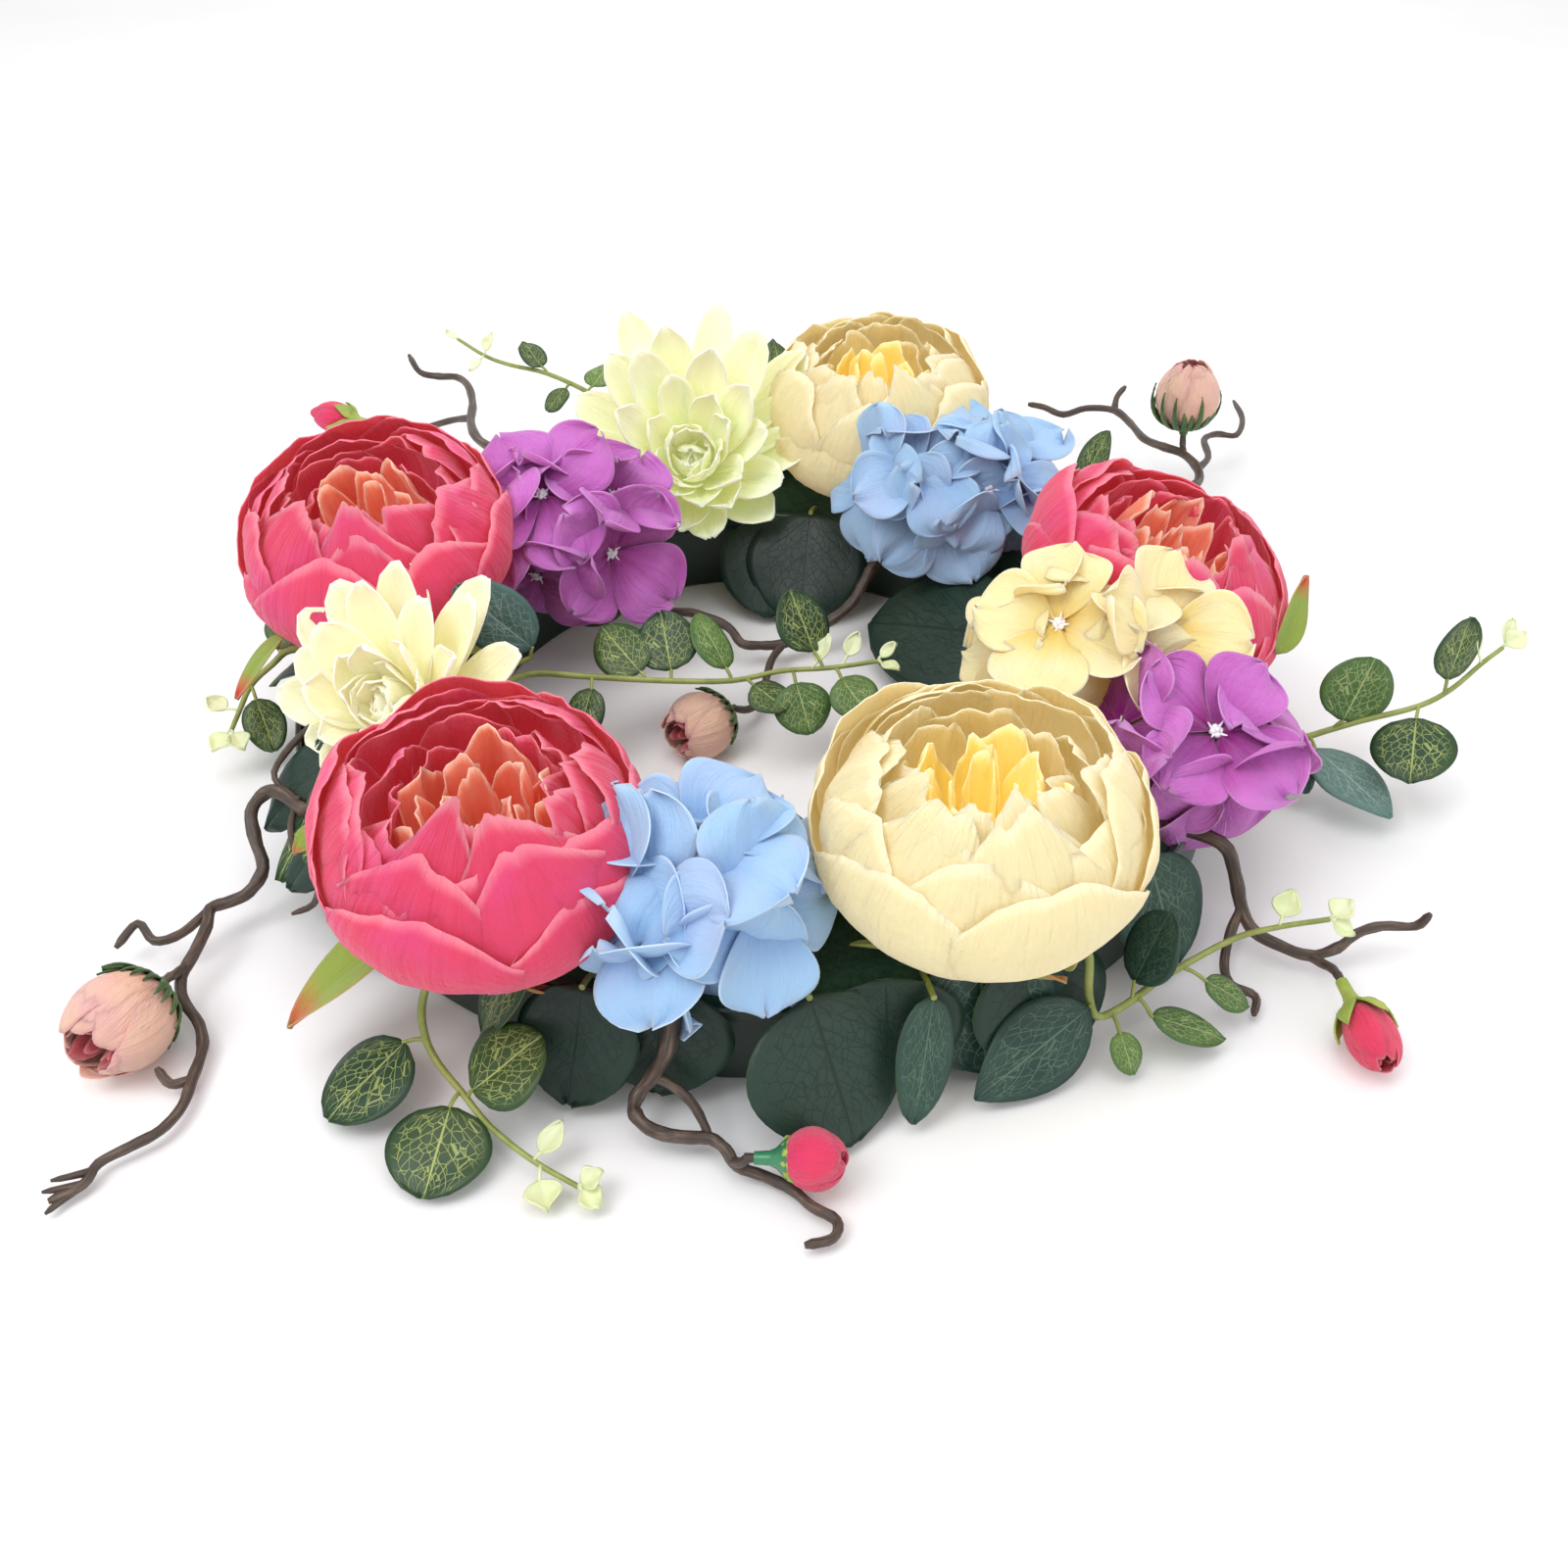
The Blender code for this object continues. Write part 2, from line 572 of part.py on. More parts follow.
def globe(name, centre, sizes, colour=None):
    def build(shape):
        bmesh.ops.create_uvsphere(shape, u_segments=14, v_segments=8, radius=1.0)
        bmesh.ops.scale(shape, vec=sizes, verts=shape.verts)
        bmesh.ops.translate(shape, vec=centre, verts=shape.verts)

    return add_mesh(name, mesh_from(name, build), colour)


def hydrangea(foam, name, angle, offset, rise, sizes, stem_angle, stem_offset, colour):
    """A rounded head of florets, with a stem that runs from the foam into its middle."""
    centre = ring_point(angle, offset, rise)
    sizes = Vector(sizes) * MM
    head = globe(f"{name}_florets", centre, sizes, colour)
    foot = ring_point(stem_angle, stem_offset, 0)
    axis = (centre - foot).normalized()
    reach = (centre - foot).length * 0.75
    top = foot + axis * reach
    length = reach + STEM_IN_FOAM
    cutter = stem_hole(foam, name, top + axis * GAP, axis, length + GAP)
    boolean(head, "DIFFERENCE", cutter)
    profile = [(0, 0), (STEM_RADIUS, 0), (STEM_RADIUS, -length), (0, -length)]
    turned(f"{name}_stem", profile, STEM_STEPS, "stem", along(top, axis))
    grown = globe(f"{name}_envelope", centre, sizes + Vector((1, 1, 1)) * PETAL_GAP * 2)
    return head, grown


def twig(name, angle, inner, main, branches, bud_branch, bud_axis):
    """A knotty twig on a wire, with its branches and the peg that its bud is pushed onto."""
    rim = rim_anchor(angle, inner)
    route = [foot_point(angle, inner), *from_rim(*rim, main)]
    body = tube(name, route, WIRE_RADIUS, TIP_RADIUS, "twig")
    for number, points in enumerate([*branches, bud_branch]):
        branch = from_rim(*rim, points)
        boolean(body, "UNION", tube(f"{name}_branch_{number}", branch, TIP_RADIUS, TIP_RADIUS))
    shoulder = branch[-1]
    peg_end = shoulder + bud_axis * PEG_LENGTH
    peg = tube(f"{name}_peg", [shoulder - bud_axis * MM, peg_end], PEG_RADIUS, PEG_RADIUS)
    boolean(body, "UNION", peg)
    return peg_end


def bud(name, peg_end, axis, radius, length, kind):
    """A closed bud with a socketed calyx that the twig's peg goes into."""
    radius, length = radius * MM, length * MM
    neck = PEG_RADIUS + 1.3 * MM
    middle = length - radius
    profile = [
        (0, length - 3 * MM),
        (radius * 0.30, length - 3 * MM),
        (radius * 0.42, length),
        (radius * 0.80, length - radius * 0.35),
        (radius, middle),
        (radius * 0.86, middle - radius * 0.55),
        (radius * 0.42, middle - radius * 0.90),
        (neck, (middle - radius * 0.90) * 0.6),
        (neck, 0),
        (PEG_RADIUS + GAP, 0),
        (PEG_RADIUS + GAP, PEG_DEPTH + GAP),
        (0, PEG_DEPTH + GAP),
    ]
    turned(name, profile, BUD_STEPS, kind, along(peg_end - axis * PEG_DEPTH, axis))


def spray(name, angle, inner, stem, leaves):
    """A stem with its leaves joined on."""
    rim = rim_anchor(angle, inner)
    route = [foot_point(angle, inner), *from_rim(*rim, stem)]
    body = tube(name, route, SPRAY_RADIUS, SPRAY_RADIUS * 0.7, "spray")
    for number, (*ends, width, roll) in enumerate(leaves):
        width *= rim[1] * MM
        blade = leaf(f"{name}_leaf_{number}", *from_rim(*rim, ends), width, roll)
        boolean(body, "UNION", blade)


def large_leaf(name, angle, inner, stalk, foot, tip, width, roll):
    rim = rim_anchor(angle, inner)
    width *= rim[1] * MM
    leaf(name, *from_rim(*rim, (stalk, foot, tip)), width, roll, "leaf", pointed=0.9)


clear_scene()
PARTS = new_collection("flower_crown")
CUTTERS = new_collection("cutters")

base_tray()
foam = foam_ring()
clear_way = passage()
envelopes = [peony(foam, name, *values) for name, values in PEONIES.items()]
for name, values in DAHLIAS.items():
    petals, envelope = dahlia(foam, name, *values)
    for cutter in [clear_way, *envelopes[: len(PEONIES)]]:
        boolean(petals, "DIFFERENCE", cutter)
    envelopes.append(envelope)
for name, values in HYDRANGEAS.items():
    head, envelope = hydrangea(foam, name, *values)
    for cutter in [clear_way, *envelopes]:
        boolean(head, "DIFFERENCE", cutter)
    envelopes.append(envelope)
for name, (twig_name, heading, *values) in BUDS.items():
    bud_axis = Vector(heading).normalized()
    bud(name, twig(twig_name, *TWIGS[twig_name], bud_axis), bud_axis, *values)
for name, values in SPRAYS.items():
    spray(name, *values)
for name, values in LEAVES.items():
    large_leaf(name, *values)
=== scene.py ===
# %% [markdown]
# # A crown of artificial flowers
# The crown is a ring tray with foam in it. Cloth peonies, dahlias and hydrangea heads stand in the
# foam on wires, and twigs, leaf sprays and single leaves come out over the rims. The frame holds
# the real sizes and the bodies that move, so each piece made here goes where its node is.

import json
import math
import random

import bmesh
import bpy
from mathutils import Matrix, Vector, noise


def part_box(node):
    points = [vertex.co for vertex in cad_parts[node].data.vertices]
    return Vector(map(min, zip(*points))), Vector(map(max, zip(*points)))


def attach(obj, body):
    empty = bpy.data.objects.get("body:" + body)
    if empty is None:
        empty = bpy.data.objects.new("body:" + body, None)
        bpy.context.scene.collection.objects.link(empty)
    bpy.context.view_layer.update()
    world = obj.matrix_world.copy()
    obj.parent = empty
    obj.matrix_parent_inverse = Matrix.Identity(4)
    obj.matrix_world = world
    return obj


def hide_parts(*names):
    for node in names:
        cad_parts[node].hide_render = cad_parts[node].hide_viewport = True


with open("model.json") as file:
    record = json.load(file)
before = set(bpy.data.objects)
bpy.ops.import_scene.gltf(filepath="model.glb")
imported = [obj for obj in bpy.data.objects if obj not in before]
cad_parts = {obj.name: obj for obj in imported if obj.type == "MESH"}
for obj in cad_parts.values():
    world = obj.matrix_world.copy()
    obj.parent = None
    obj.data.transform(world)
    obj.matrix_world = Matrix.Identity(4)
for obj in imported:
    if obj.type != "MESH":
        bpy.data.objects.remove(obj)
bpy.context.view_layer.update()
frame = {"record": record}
MM = 0.001
tray_low, tray_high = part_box("base_tray")
RING_OUTER = tray_high.x
RIM = tray_high.z
RING_WIDTH = 56 * MM
HEAD_RADIUS = RING_OUTER - RING_WIDTH
RING_MIDDLE = (RING_OUTER + HEAD_RADIUS) / 2
BODY_OF = {node: body for body, nodes in frame["record"]["behaviour"]["bodies"].items() for node in nodes}
print(f"ring {2 * RING_OUTER:.3f} m across, rim {RIM:.3f} m high, {len(BODY_OF)} nodes")

# %% [markdown]
# ## Camera, light and floor
# The crown is seen from a little above, on a pale floor, under large soft lamps. A sun or a small
# lamp would draw hard shadows between the petals, so all lamps are areas.

# %% Camera
camera = bpy.data.objects.new("camera", bpy.data.cameras.new("camera"))
bpy.context.collection.objects.link(camera)
camera.location = (0.0078, -0.4131, 0.3320)
camera.rotation_euler = (math.radians(49.34), 0, 0)
camera.data.lens = 34.9
camera.data.sensor_width = 36
bpy.context.scene.camera = camera

# %% Lamps


def soft_lamp(name, place, aim, size, power):
    lamp = bpy.data.objects.new(name, bpy.data.lights.new(name, "AREA"))
    bpy.context.collection.objects.link(lamp)
    lamp.location = place
    lamp.rotation_euler = (Vector(aim) - Vector(place)).to_track_quat("-Z", "Y").to_euler()
    lamp.data.shape = "SQUARE"
    lamp.data.size = size
    lamp.data.energy = power
    return lamp


soft_lamp("key_lamp", (-0.6, -0.5, 1.1), (0, 0, 0), 0.6, 6)
soft_lamp("fill_lamp", (0.9, -0.7, 0.7), (0, 0, 0), 0.9, 2)
soft_lamp("back_lamp", (0.1, 1.0, 0.9), (0, 0, 0), 0.9, 3)
soft_lamp("top_lamp", (0, -0.25, 1.3), (0, 0, 0), 0.7, 4)
world = bpy.data.worlds.new("studio")
bpy.context.scene.world = world
world.use_nodes = True
world.node_tree.nodes["Background"].inputs["Color"].default_value = (1, 1, 1, 1)
world.node_tree.nodes["Background"].inputs["Strength"].default_value = 0.82
bpy.context.scene.view_settings.view_transform = "Standard"

# %% [markdown]
# ## Shader maths in Python
# A finish is a few patterns added and mixed. Written out node by node that is long and hard to
# read, so `Wire` wraps a socket and turns +, - and * into Math nodes, and `Finish.node` makes
# every other node from its type, its settings and its inputs.

# %% Wire and Finish


class Wire:
    """An output socket that can be used in arithmetic."""

    def __init__(self, finish, socket):
        self.finish = finish
        self.socket = socket

    def maths(self, operation, *values):
        inputs = dict(enumerate(values))
        return self.finish.node("ShaderNodeMath", {"operation": operation}, inputs)

    def __add__(self, other):
        return self.maths("ADD", self, other)

    __radd__ = __add__

    def __sub__(self, other):
        return self.maths("SUBTRACT", self, other)

    def __rsub__(self, other):
        return self.maths("SUBTRACT", other, self)

    def __mul__(self, other):
        return self.maths("MULTIPLY", self, other)

    __rmul__ = __mul__

    def __abs__(self):
        return self.maths("ABSOLUTE", self)

    def sine(self):
        return self.maths("SINE", self)

    def between(self, low, high):
        """0 below low, 1 above high and a smooth step in between."""
        kind = {"interpolation_type": "SMOOTHSTEP"}
        inputs = {"Value": self, "From Min": low, "From Max": high}
        return self.finish.node("ShaderNodeMapRange", kind, inputs)


class Finish:
    """A material whose constants sit on the shader's own sockets."""

    def __init__(self, name, **constants):
        self.material = bpy.data.materials.new(name)
        self.material.use_nodes = True
        self.tree = self.material.node_tree
        self.shader = self.tree.nodes["Principled BSDF"]
        for socket, value in constants.items():
            self.shader.inputs[socket.replace("_", " ")].default_value = value

    def node(self, kind, settings=None, inputs=None, output=0):
        made = self.tree.nodes.new(kind)
        for key, value in (settings or {}).items():
            if key == "stops":
                self.set_stops(made.color_ramp, value)
            else:
                setattr(made, key, value)
        for key, value in (inputs or {}).items():
            if isinstance(value, Wire):
                self.tree.links.new(value.socket, made.inputs[key])
            else:
                made.inputs[key].default_value = value
        return Wire(self, made.outputs[output])

    def set_stops(self, ramp, stops):
        while len(ramp.elements) < len(stops):
            ramp.elements.new(1.0)
        for element, (place, colour) in zip(ramp.elements, stops):
            element.position = place
            element.color = (*colour, 1.0)

    def ramp(self, value, stops):
        return self.node("ShaderNodeValToRGB", {"stops": stops}, {"Fac": value})

    def mix(self, share, first, second):
        colours = [(*c, 1.0) if isinstance(c, tuple) else c for c in (first, second)]
        return self.node("ShaderNodeMix", {"data_type": "RGBA"}, {0: share, 6: colours[0], 7: colours[1]}, 2)

    def noise(self, vector, scale, detail=2.0, roughness=0.5):
        inputs = {"Vector": vector, "Scale": scale, "Detail": detail, "Roughness": roughness}
        return self.node("ShaderNodeTexNoise", {}, inputs)

    def stretched(self, vector, along_x, along_y, along_z=1.0):
        return self.node("ShaderNodeMapping", {}, {"Vector": vector, "Scale": (along_x, along_y, along_z)})

    def uv(self):
        """The UV vector, and its two parts: u across the petal or leaf, v from foot to tip."""
        vector = self.node("ShaderNodeTexCoord", {}, {}, "UV")
        return vector, *(self.node("ShaderNodeSeparateXYZ", {}, {0: vector}, part) for part in (0, 1))

    def tone(self):
        """A random number from 0 to 1 that each petal carries on its points."""
        return self.node("ShaderNodeAttribute", {"attribute_name": "tone"}, {}, "Fac")

    def place(self):
        return self.node("ShaderNodeTexCoord", {}, {}, "Object")

    def paint(self, colour, height, strength, distance):
        self.tree.links.new(colour.socket, self.shader.inputs["Base Color"])
        inputs = {"Height": height, "Strength": strength, "Distance": distance}
        bump = self.node("ShaderNodeBump", {}, inputs)
        self.tree.links.new(bump.socket, self.shader.inputs["Normal"])
        return self.material


# %% [markdown]
# ## Petal cloth
# The petals are polyester cloth, dyed deeper at the foot and fading to a paler, slightly frayed
# edge; on the purple cloth the deep foot is partly painted shade. Light also shines through the
# cloth a little, which a small subsurface weight gives, and the cloth of the deep petals glows a
# little in its foot's colour, which is painted light. The heat press leaves creases that fan along
# the petal: noise stretched along v makes them.

# %% Petal cloth


def petal_cloth(name, colours, weave=0.5, glow=0.25, crease=0.7, dye=(0.08, 0.60), painted_glow=0.0):
    """Cloth dyed from foot to edge, with a second tint drifting through it.

    The four colours are the foot's, the middle's, the edge's and the tint's. dye is where the foot's
    colour ends and the middle's begins. The last argument is painted light: a glow in the foot's
    colour that stands in for the light which reaches the deep petals through the ones outside them.
    """
    foot, middle, edge, tint = colours
    cloth = Finish(
        name,
        Roughness=0.78,
        Sheen_Weight=0.25,
        Sheen_Roughness=0.45,
        Specular_IOR_Level=0.25,
        Subsurface_Weight=glow,
        Subsurface_Scale=0.003,
        Subsurface_Radius=(1.0, 0.55, 0.4),
        # Painted light: the cloth glows faintly in its foot's colour, standing in for light that comes through
        # the outer petals.
        Emission_Color=(*foot, 1),
        Emission_Strength=painted_glow,
    )
    vector, u, v = cloth.uv()
    tone = cloth.tone()
    fan = cloth.noise(cloth.stretched(vector, 18, 1.6), 1.0, 4.0, 0.6)
    crumple = cloth.noise(vector, 5, 3.0, 0.6)
    drift = cloth.noise(cloth.place(), 55, 2.0)
    reach = v + (fan - 0.5) * 0.3 + (tone - 0.5) * 0.2
    rim = v.maths("MAXIMUM", abs(u - 0.5) * 2, v)
    faded = cloth.ramp(reach, [(dye[0], foot), (dye[1], middle)])
    dyed = cloth.mix(rim.between(0.94, 1.0) * 0.6, faded, edge)
    tinted = cloth.mix(drift.between(0.45, 0.72) * 0.55 + (tone - 0.5) * 0.2, dyed, tint)
    threads = (u * 560).sine() * (v * 560).sine()
    height = threads * (0.04 * weave) + fan * 0.9 + crumple * 0.7
    return cloth.paint(tinted, height, crease, 0.0026)


PINK = petal_cloth(
    "pink_petal_cloth",
    ((0.96, 0.07, 0.08), (0.62, 0.045, 0.12), (0.90, 0.34, 0.42), (0.62, 0.06, 0.22)),
    weave=0.5, glow=0.4, crease=0.85, painted_glow=0.13,
)
PINK_HEART = petal_cloth(
    "coral_petal_cloth",
    ((0.98, 0.14, 0.08), (0.86, 0.24, 0.15), (1.0, 0.72, 0.58), (0.92, 0.40, 0.30)),
    weave=0.4, glow=0.6, crease=0.6, painted_glow=0.10,
)
CREAM = petal_cloth(
    "ivory_petal_cloth",
    ((1.0, 0.74, 0.26), (0.74, 0.62, 0.37), (0.88, 0.82, 0.62), (0.78, 0.68, 0.42)),
    weave=0.4, glow=0.4, crease=0.75, painted_glow=0.13,
)
CREAM_HEART = petal_cloth(
    "yellow_petal_cloth",
    ((1.0, 0.66, 0.12), (0.95, 0.76, 0.28), (1.0, 0.92, 0.60), (0.98, 0.84, 0.40)),
    weave=0.4, glow=0.6, crease=0.5, painted_glow=0.20,
)
DAHLIA = petal_cloth(
    "greenish_petal_cloth",
    ((0.84, 0.88, 0.34), (0.92, 0.93, 0.62), (0.96, 0.97, 0.86), (0.94, 0.95, 0.74)),
    weave=0.2, glow=0.5, crease=0.4, painted_glow=0.10,
)
DAHLIA_WHITE = petal_cloth(
    "whitish_petal_cloth",
    ((0.96, 0.88, 0.40), (0.93, 0.90, 0.62), (0.96, 0.92, 0.86), (0.94, 0.90, 0.78)),
    weave=0.2, glow=0.45, crease=0.4, painted_glow=0.09,
)
# The purple's deep magenta foot is partly its dye and partly painted shade, standing in for the coloured shade
# deep in each floret.
PURPLE = petal_cloth(
    "purple_petal_cloth",
    ((0.28, 0.01, 0.20), (0.58, 0.17, 0.56), (0.72, 0.34, 0.72), (0.48, 0.08, 0.42)),
    weave=0.3, glow=0.2,
)
BLUE = petal_cloth(
    "blue_petal_cloth",
    ((0.28, 0.46, 0.80), (0.38, 0.60, 0.88), (0.62, 0.78, 0.95), (0.46, 0.56, 0.84)),
    weave=1.0, glow=0.15, crease=0.6,
)
BUTTER = petal_cloth(
    "butter_petal_cloth",
    ((0.94, 0.60, 0.14), (0.94, 0.78, 0.40), (0.97, 0.90, 0.70), (0.96, 0.74, 0.50)),
    weave=0.4, glow=0.4, crease=0.5,
)
PEACH = petal_cloth(
    "peach_petal_cloth",
    ((0.88, 0.40, 0.28), (0.86, 0.50, 0.37), (0.84, 0.34, 0.38), (0.82, 0.38, 0.40)),
    weave=0.4,
)
PEACH_DARK = petal_cloth(
    "peach_inner_cloth",
    ((0.50, 0.03, 0.05), (0.72, 0.12, 0.14), (0.88, 0.34, 0.36), (0.75, 0.14, 0.2)),
)
ROSE = petal_cloth(
    "rosebud_cloth",
    ((0.62, 0.02, 0.07), (0.84, 0.05, 0.12), (0.93, 0.22, 0.28), (0.80, 0.04, 0.16)),
    weave=0.3,
)

# %% [markdown]
# ## Leaf finishes
# The leaves are printed cloth: a midrib, a net of fine veins in cells, and a plain margin. Voronoi
# cells measured to their edge give such a net. On the sprays the veins are pale on dark green, and
# on the large leaves they are darker than the blade. The undersides are plain olive.

# %% Leaf finish


def leaf_finish(name, blade, second, vein, net=9.0, show=0.8, roughness=0.42):
    coat = {"Coat_Weight": 0.05, "Coat_Roughness": 0.4}
    leaf = Finish(name, Roughness=roughness, Specular_IOR_Level=0.35, **coat)
    vector, u, v = leaf.uv()
    waver = leaf.node("ShaderNodeTexNoise", {}, {"Vector": vector, "Scale": 5.0}, 1)
    added = {"operation": "MULTIPLY_ADD"}
    warped = leaf.node("ShaderNodeVectorMath", added, {0: waver, 1: (0.09, 0.09, 0), 2: vector})
    cells = {"feature": "DISTANCE_TO_EDGE"}
    inputs = {"Vector": leaf.stretched(warped, 1.0, 0.8), "Scale": net}
    fine = leaf.node("ShaderNodeTexVoronoi", cells, inputs)
    side = abs(u - 0.5)
    branches = abs(((v * 5.5 - side * 6.0) * math.pi).sine())
    main = 1 - side.between(0.004, 0.018)
    strong = (1 - branches.between(0.02, 0.16)) * (1 - side.between(0.30, 0.42))
    inside = (1 - side.between(0.34, 0.46)) * (1 - abs(v - 0.48).between(0.34, 0.46))
    web = (1 - fine.between(0.012, 0.05)) * inside
    veins = main.maths("MAXIMUM", main, strong.maths("MAXIMUM", strong * 0.8, web * 0.75))
    patches = leaf.noise(leaf.place(), 70, 3.0)
    ground = leaf.mix((patches + leaf.tone() * 0.5).between(0.45, 0.95), blade, second)
    height = patches * 0.3 - veins * 0.5 + leaf.noise(vector, 30, 2.0) * 0.15
    return leaf.paint(leaf.mix(veins * show, ground, vein), height, 0.4, 0.0005)


def plain_finish(name, first, second, scale, roughness, bump=0.3, distance=0.0003, **constants):
    """Two close colours in a drifting pattern, with a fine bump."""
    plain = Finish(name, Roughness=roughness, **constants)
    drift = plain.noise(plain.place(), scale, 4.0, 0.6)
    return plain.paint(plain.mix(drift.between(0.35, 0.65), first, second), drift, bump, distance)


SPRAY_LEAF = leaf_finish(
    "spray_leaf", (0.016, 0.050, 0.022), (0.034, 0.074, 0.020), (0.46, 0.54, 0.16), net=11.0, show=0.8
)
OLIVE_LEAF = leaf_finish(
    "olive_leaf", (0.10, 0.19, 0.035), (0.06, 0.13, 0.035), (0.55, 0.62, 0.25), net=11.0, show=0.65
)
LARGE_LEAF = leaf_finish(
    "large_leaf", (0.009, 0.026, 0.019), (0.015, 0.040, 0.027), (0.003, 0.011, 0.008), net=15.0, show=0.8
)
VEINED_LEAF = leaf_finish(
    "veined_dark_leaf", (0.012, 0.040, 0.032), (0.022, 0.060, 0.045), (0.16, 0.26, 0.17), net=13.0, show=0.55
)
SILVER_LEAF = leaf_finish(
    "silver_leaf", (0.06, 0.13, 0.12), (0.10, 0.19, 0.17), (0.42, 0.52, 0.46), net=14.0, show=0.6
)
SEPAL = leaf_finish(
    "sepal_green", (0.26, 0.36, 0.06), (0.34, 0.46, 0.09), (0.46, 0.56, 0.18), net=6.0, show=0.4, roughness=0.6
)
RED_TIP = petal_cloth(
    "red_tipped_sepal",
    ((0.26, 0.38, 0.05), (0.68, 0.07, 0.06), (0.50, 0.30, 0.10), (0.34, 0.40, 0.08)),
    weave=0.4, glow=0.2, crease=0.6, dye=(0.66, 0.95),
)
UNDERSIDE = plain_finish("leaf_underside", (0.07, 0.13, 0.03), (0.11, 0.17, 0.045), 90, 0.55)
YOUNG_TIP = plain_finish("young_tip", (0.70, 0.76, 0.38), (0.78, 0.80, 0.50), 60, 0.4, Subsurface_Weight=0.25)
STEM = plain_finish("stem_plastic", (0.20, 0.24, 0.05), (0.30, 0.34, 0.09), 130, 0.42)
CALYX = plain_finish("calyx_green", (0.035, 0.10, 0.03), (0.10, 0.17, 0.04), 160, 0.5)
LIGHT_CALYX = plain_finish("light_calyx", (0.26, 0.36, 0.05), (0.40, 0.46, 0.10), 120, 0.5)
FERRULE = plain_finish("green_ferrule", (0.02, 0.14, 0.06), (0.04, 0.22, 0.10), 90, 0.25)
BEAD = plain_finish("white_bead", (0.86, 0.84, 0.88), (0.92, 0.90, 0.92), 200, 0.25)
TRAY = plain_finish("tray_plastic", (0.007, 0.022, 0.014), (0.010, 0.030, 0.019), 50, 0.36, 0.15)
FOAM = plain_finish("floral_foam", (0.010, 0.045, 0.022), (0.022, 0.070, 0.034), 420, 0.95, 1.0, 0.0012)

# %% [markdown]
# ## Bark
# The twigs are moulded plastic over wire, with a grain that runs along them. The twig's own UV map
# has its length in v, so noise that is fine in u and slow in v follows every bend.

# %% Bark
bark = Finish("twig_bark", Roughness=0.45, Coat_Weight=0.12, Coat_Roughness=0.4)
bark_vector, bark_u, bark_v = bark.uv()
grain = bark.noise(bark.stretched(bark_vector, 7, 0.5), 1.6, 4.0, 0.65)
knots = bark.noise(bark.place(), 130, 2.0)
bark_stops = [(0.32, (0.022, 0.012, 0.008)), (0.5, (0.065, 0.040, 0.028)), (0.68, (0.20, 0.14, 0.10))]
bark_colour = bark.ramp(grain * 0.7 + knots * 0.3, bark_stops)
BARK = bark.paint(bark_colour, grain + knots * 0.5, 0.8, 0.0008)
print(len(bpy.data.materials), "finishes")

# %% [markdown]
# ## The floor
# A plain pale sheet, large enough that its edge never shows.

# %% Floor
floor_shape = bmesh.new()
bmesh.ops.create_grid(floor_shape, x_segments=1, y_segments=1, size=4.0)
floor_mesh = bpy.data.meshes.new("floor")
floor_shape.to_mesh(floor_mesh)
floor = bpy.data.objects.new("floor", floor_mesh)
bpy.context.collection.objects.link(floor)
floor_mesh.materials.append(plain_finish("floor_paper", (0.86, 0.86, 0.87), (0.88, 0.88, 0.89), 8, 0.9, 0.02))

# %% [markdown]
# ## Sheets and rods
# Every petal and leaf starts as a flat grid with a UV map, and a function then puts each point of
# the grid in its place. Every stem and twig starts as a circle that is extruded from point to
# point. `Work` keeps one bmesh for all the sheets of a piece, and finishes it as an object.

# %% Work


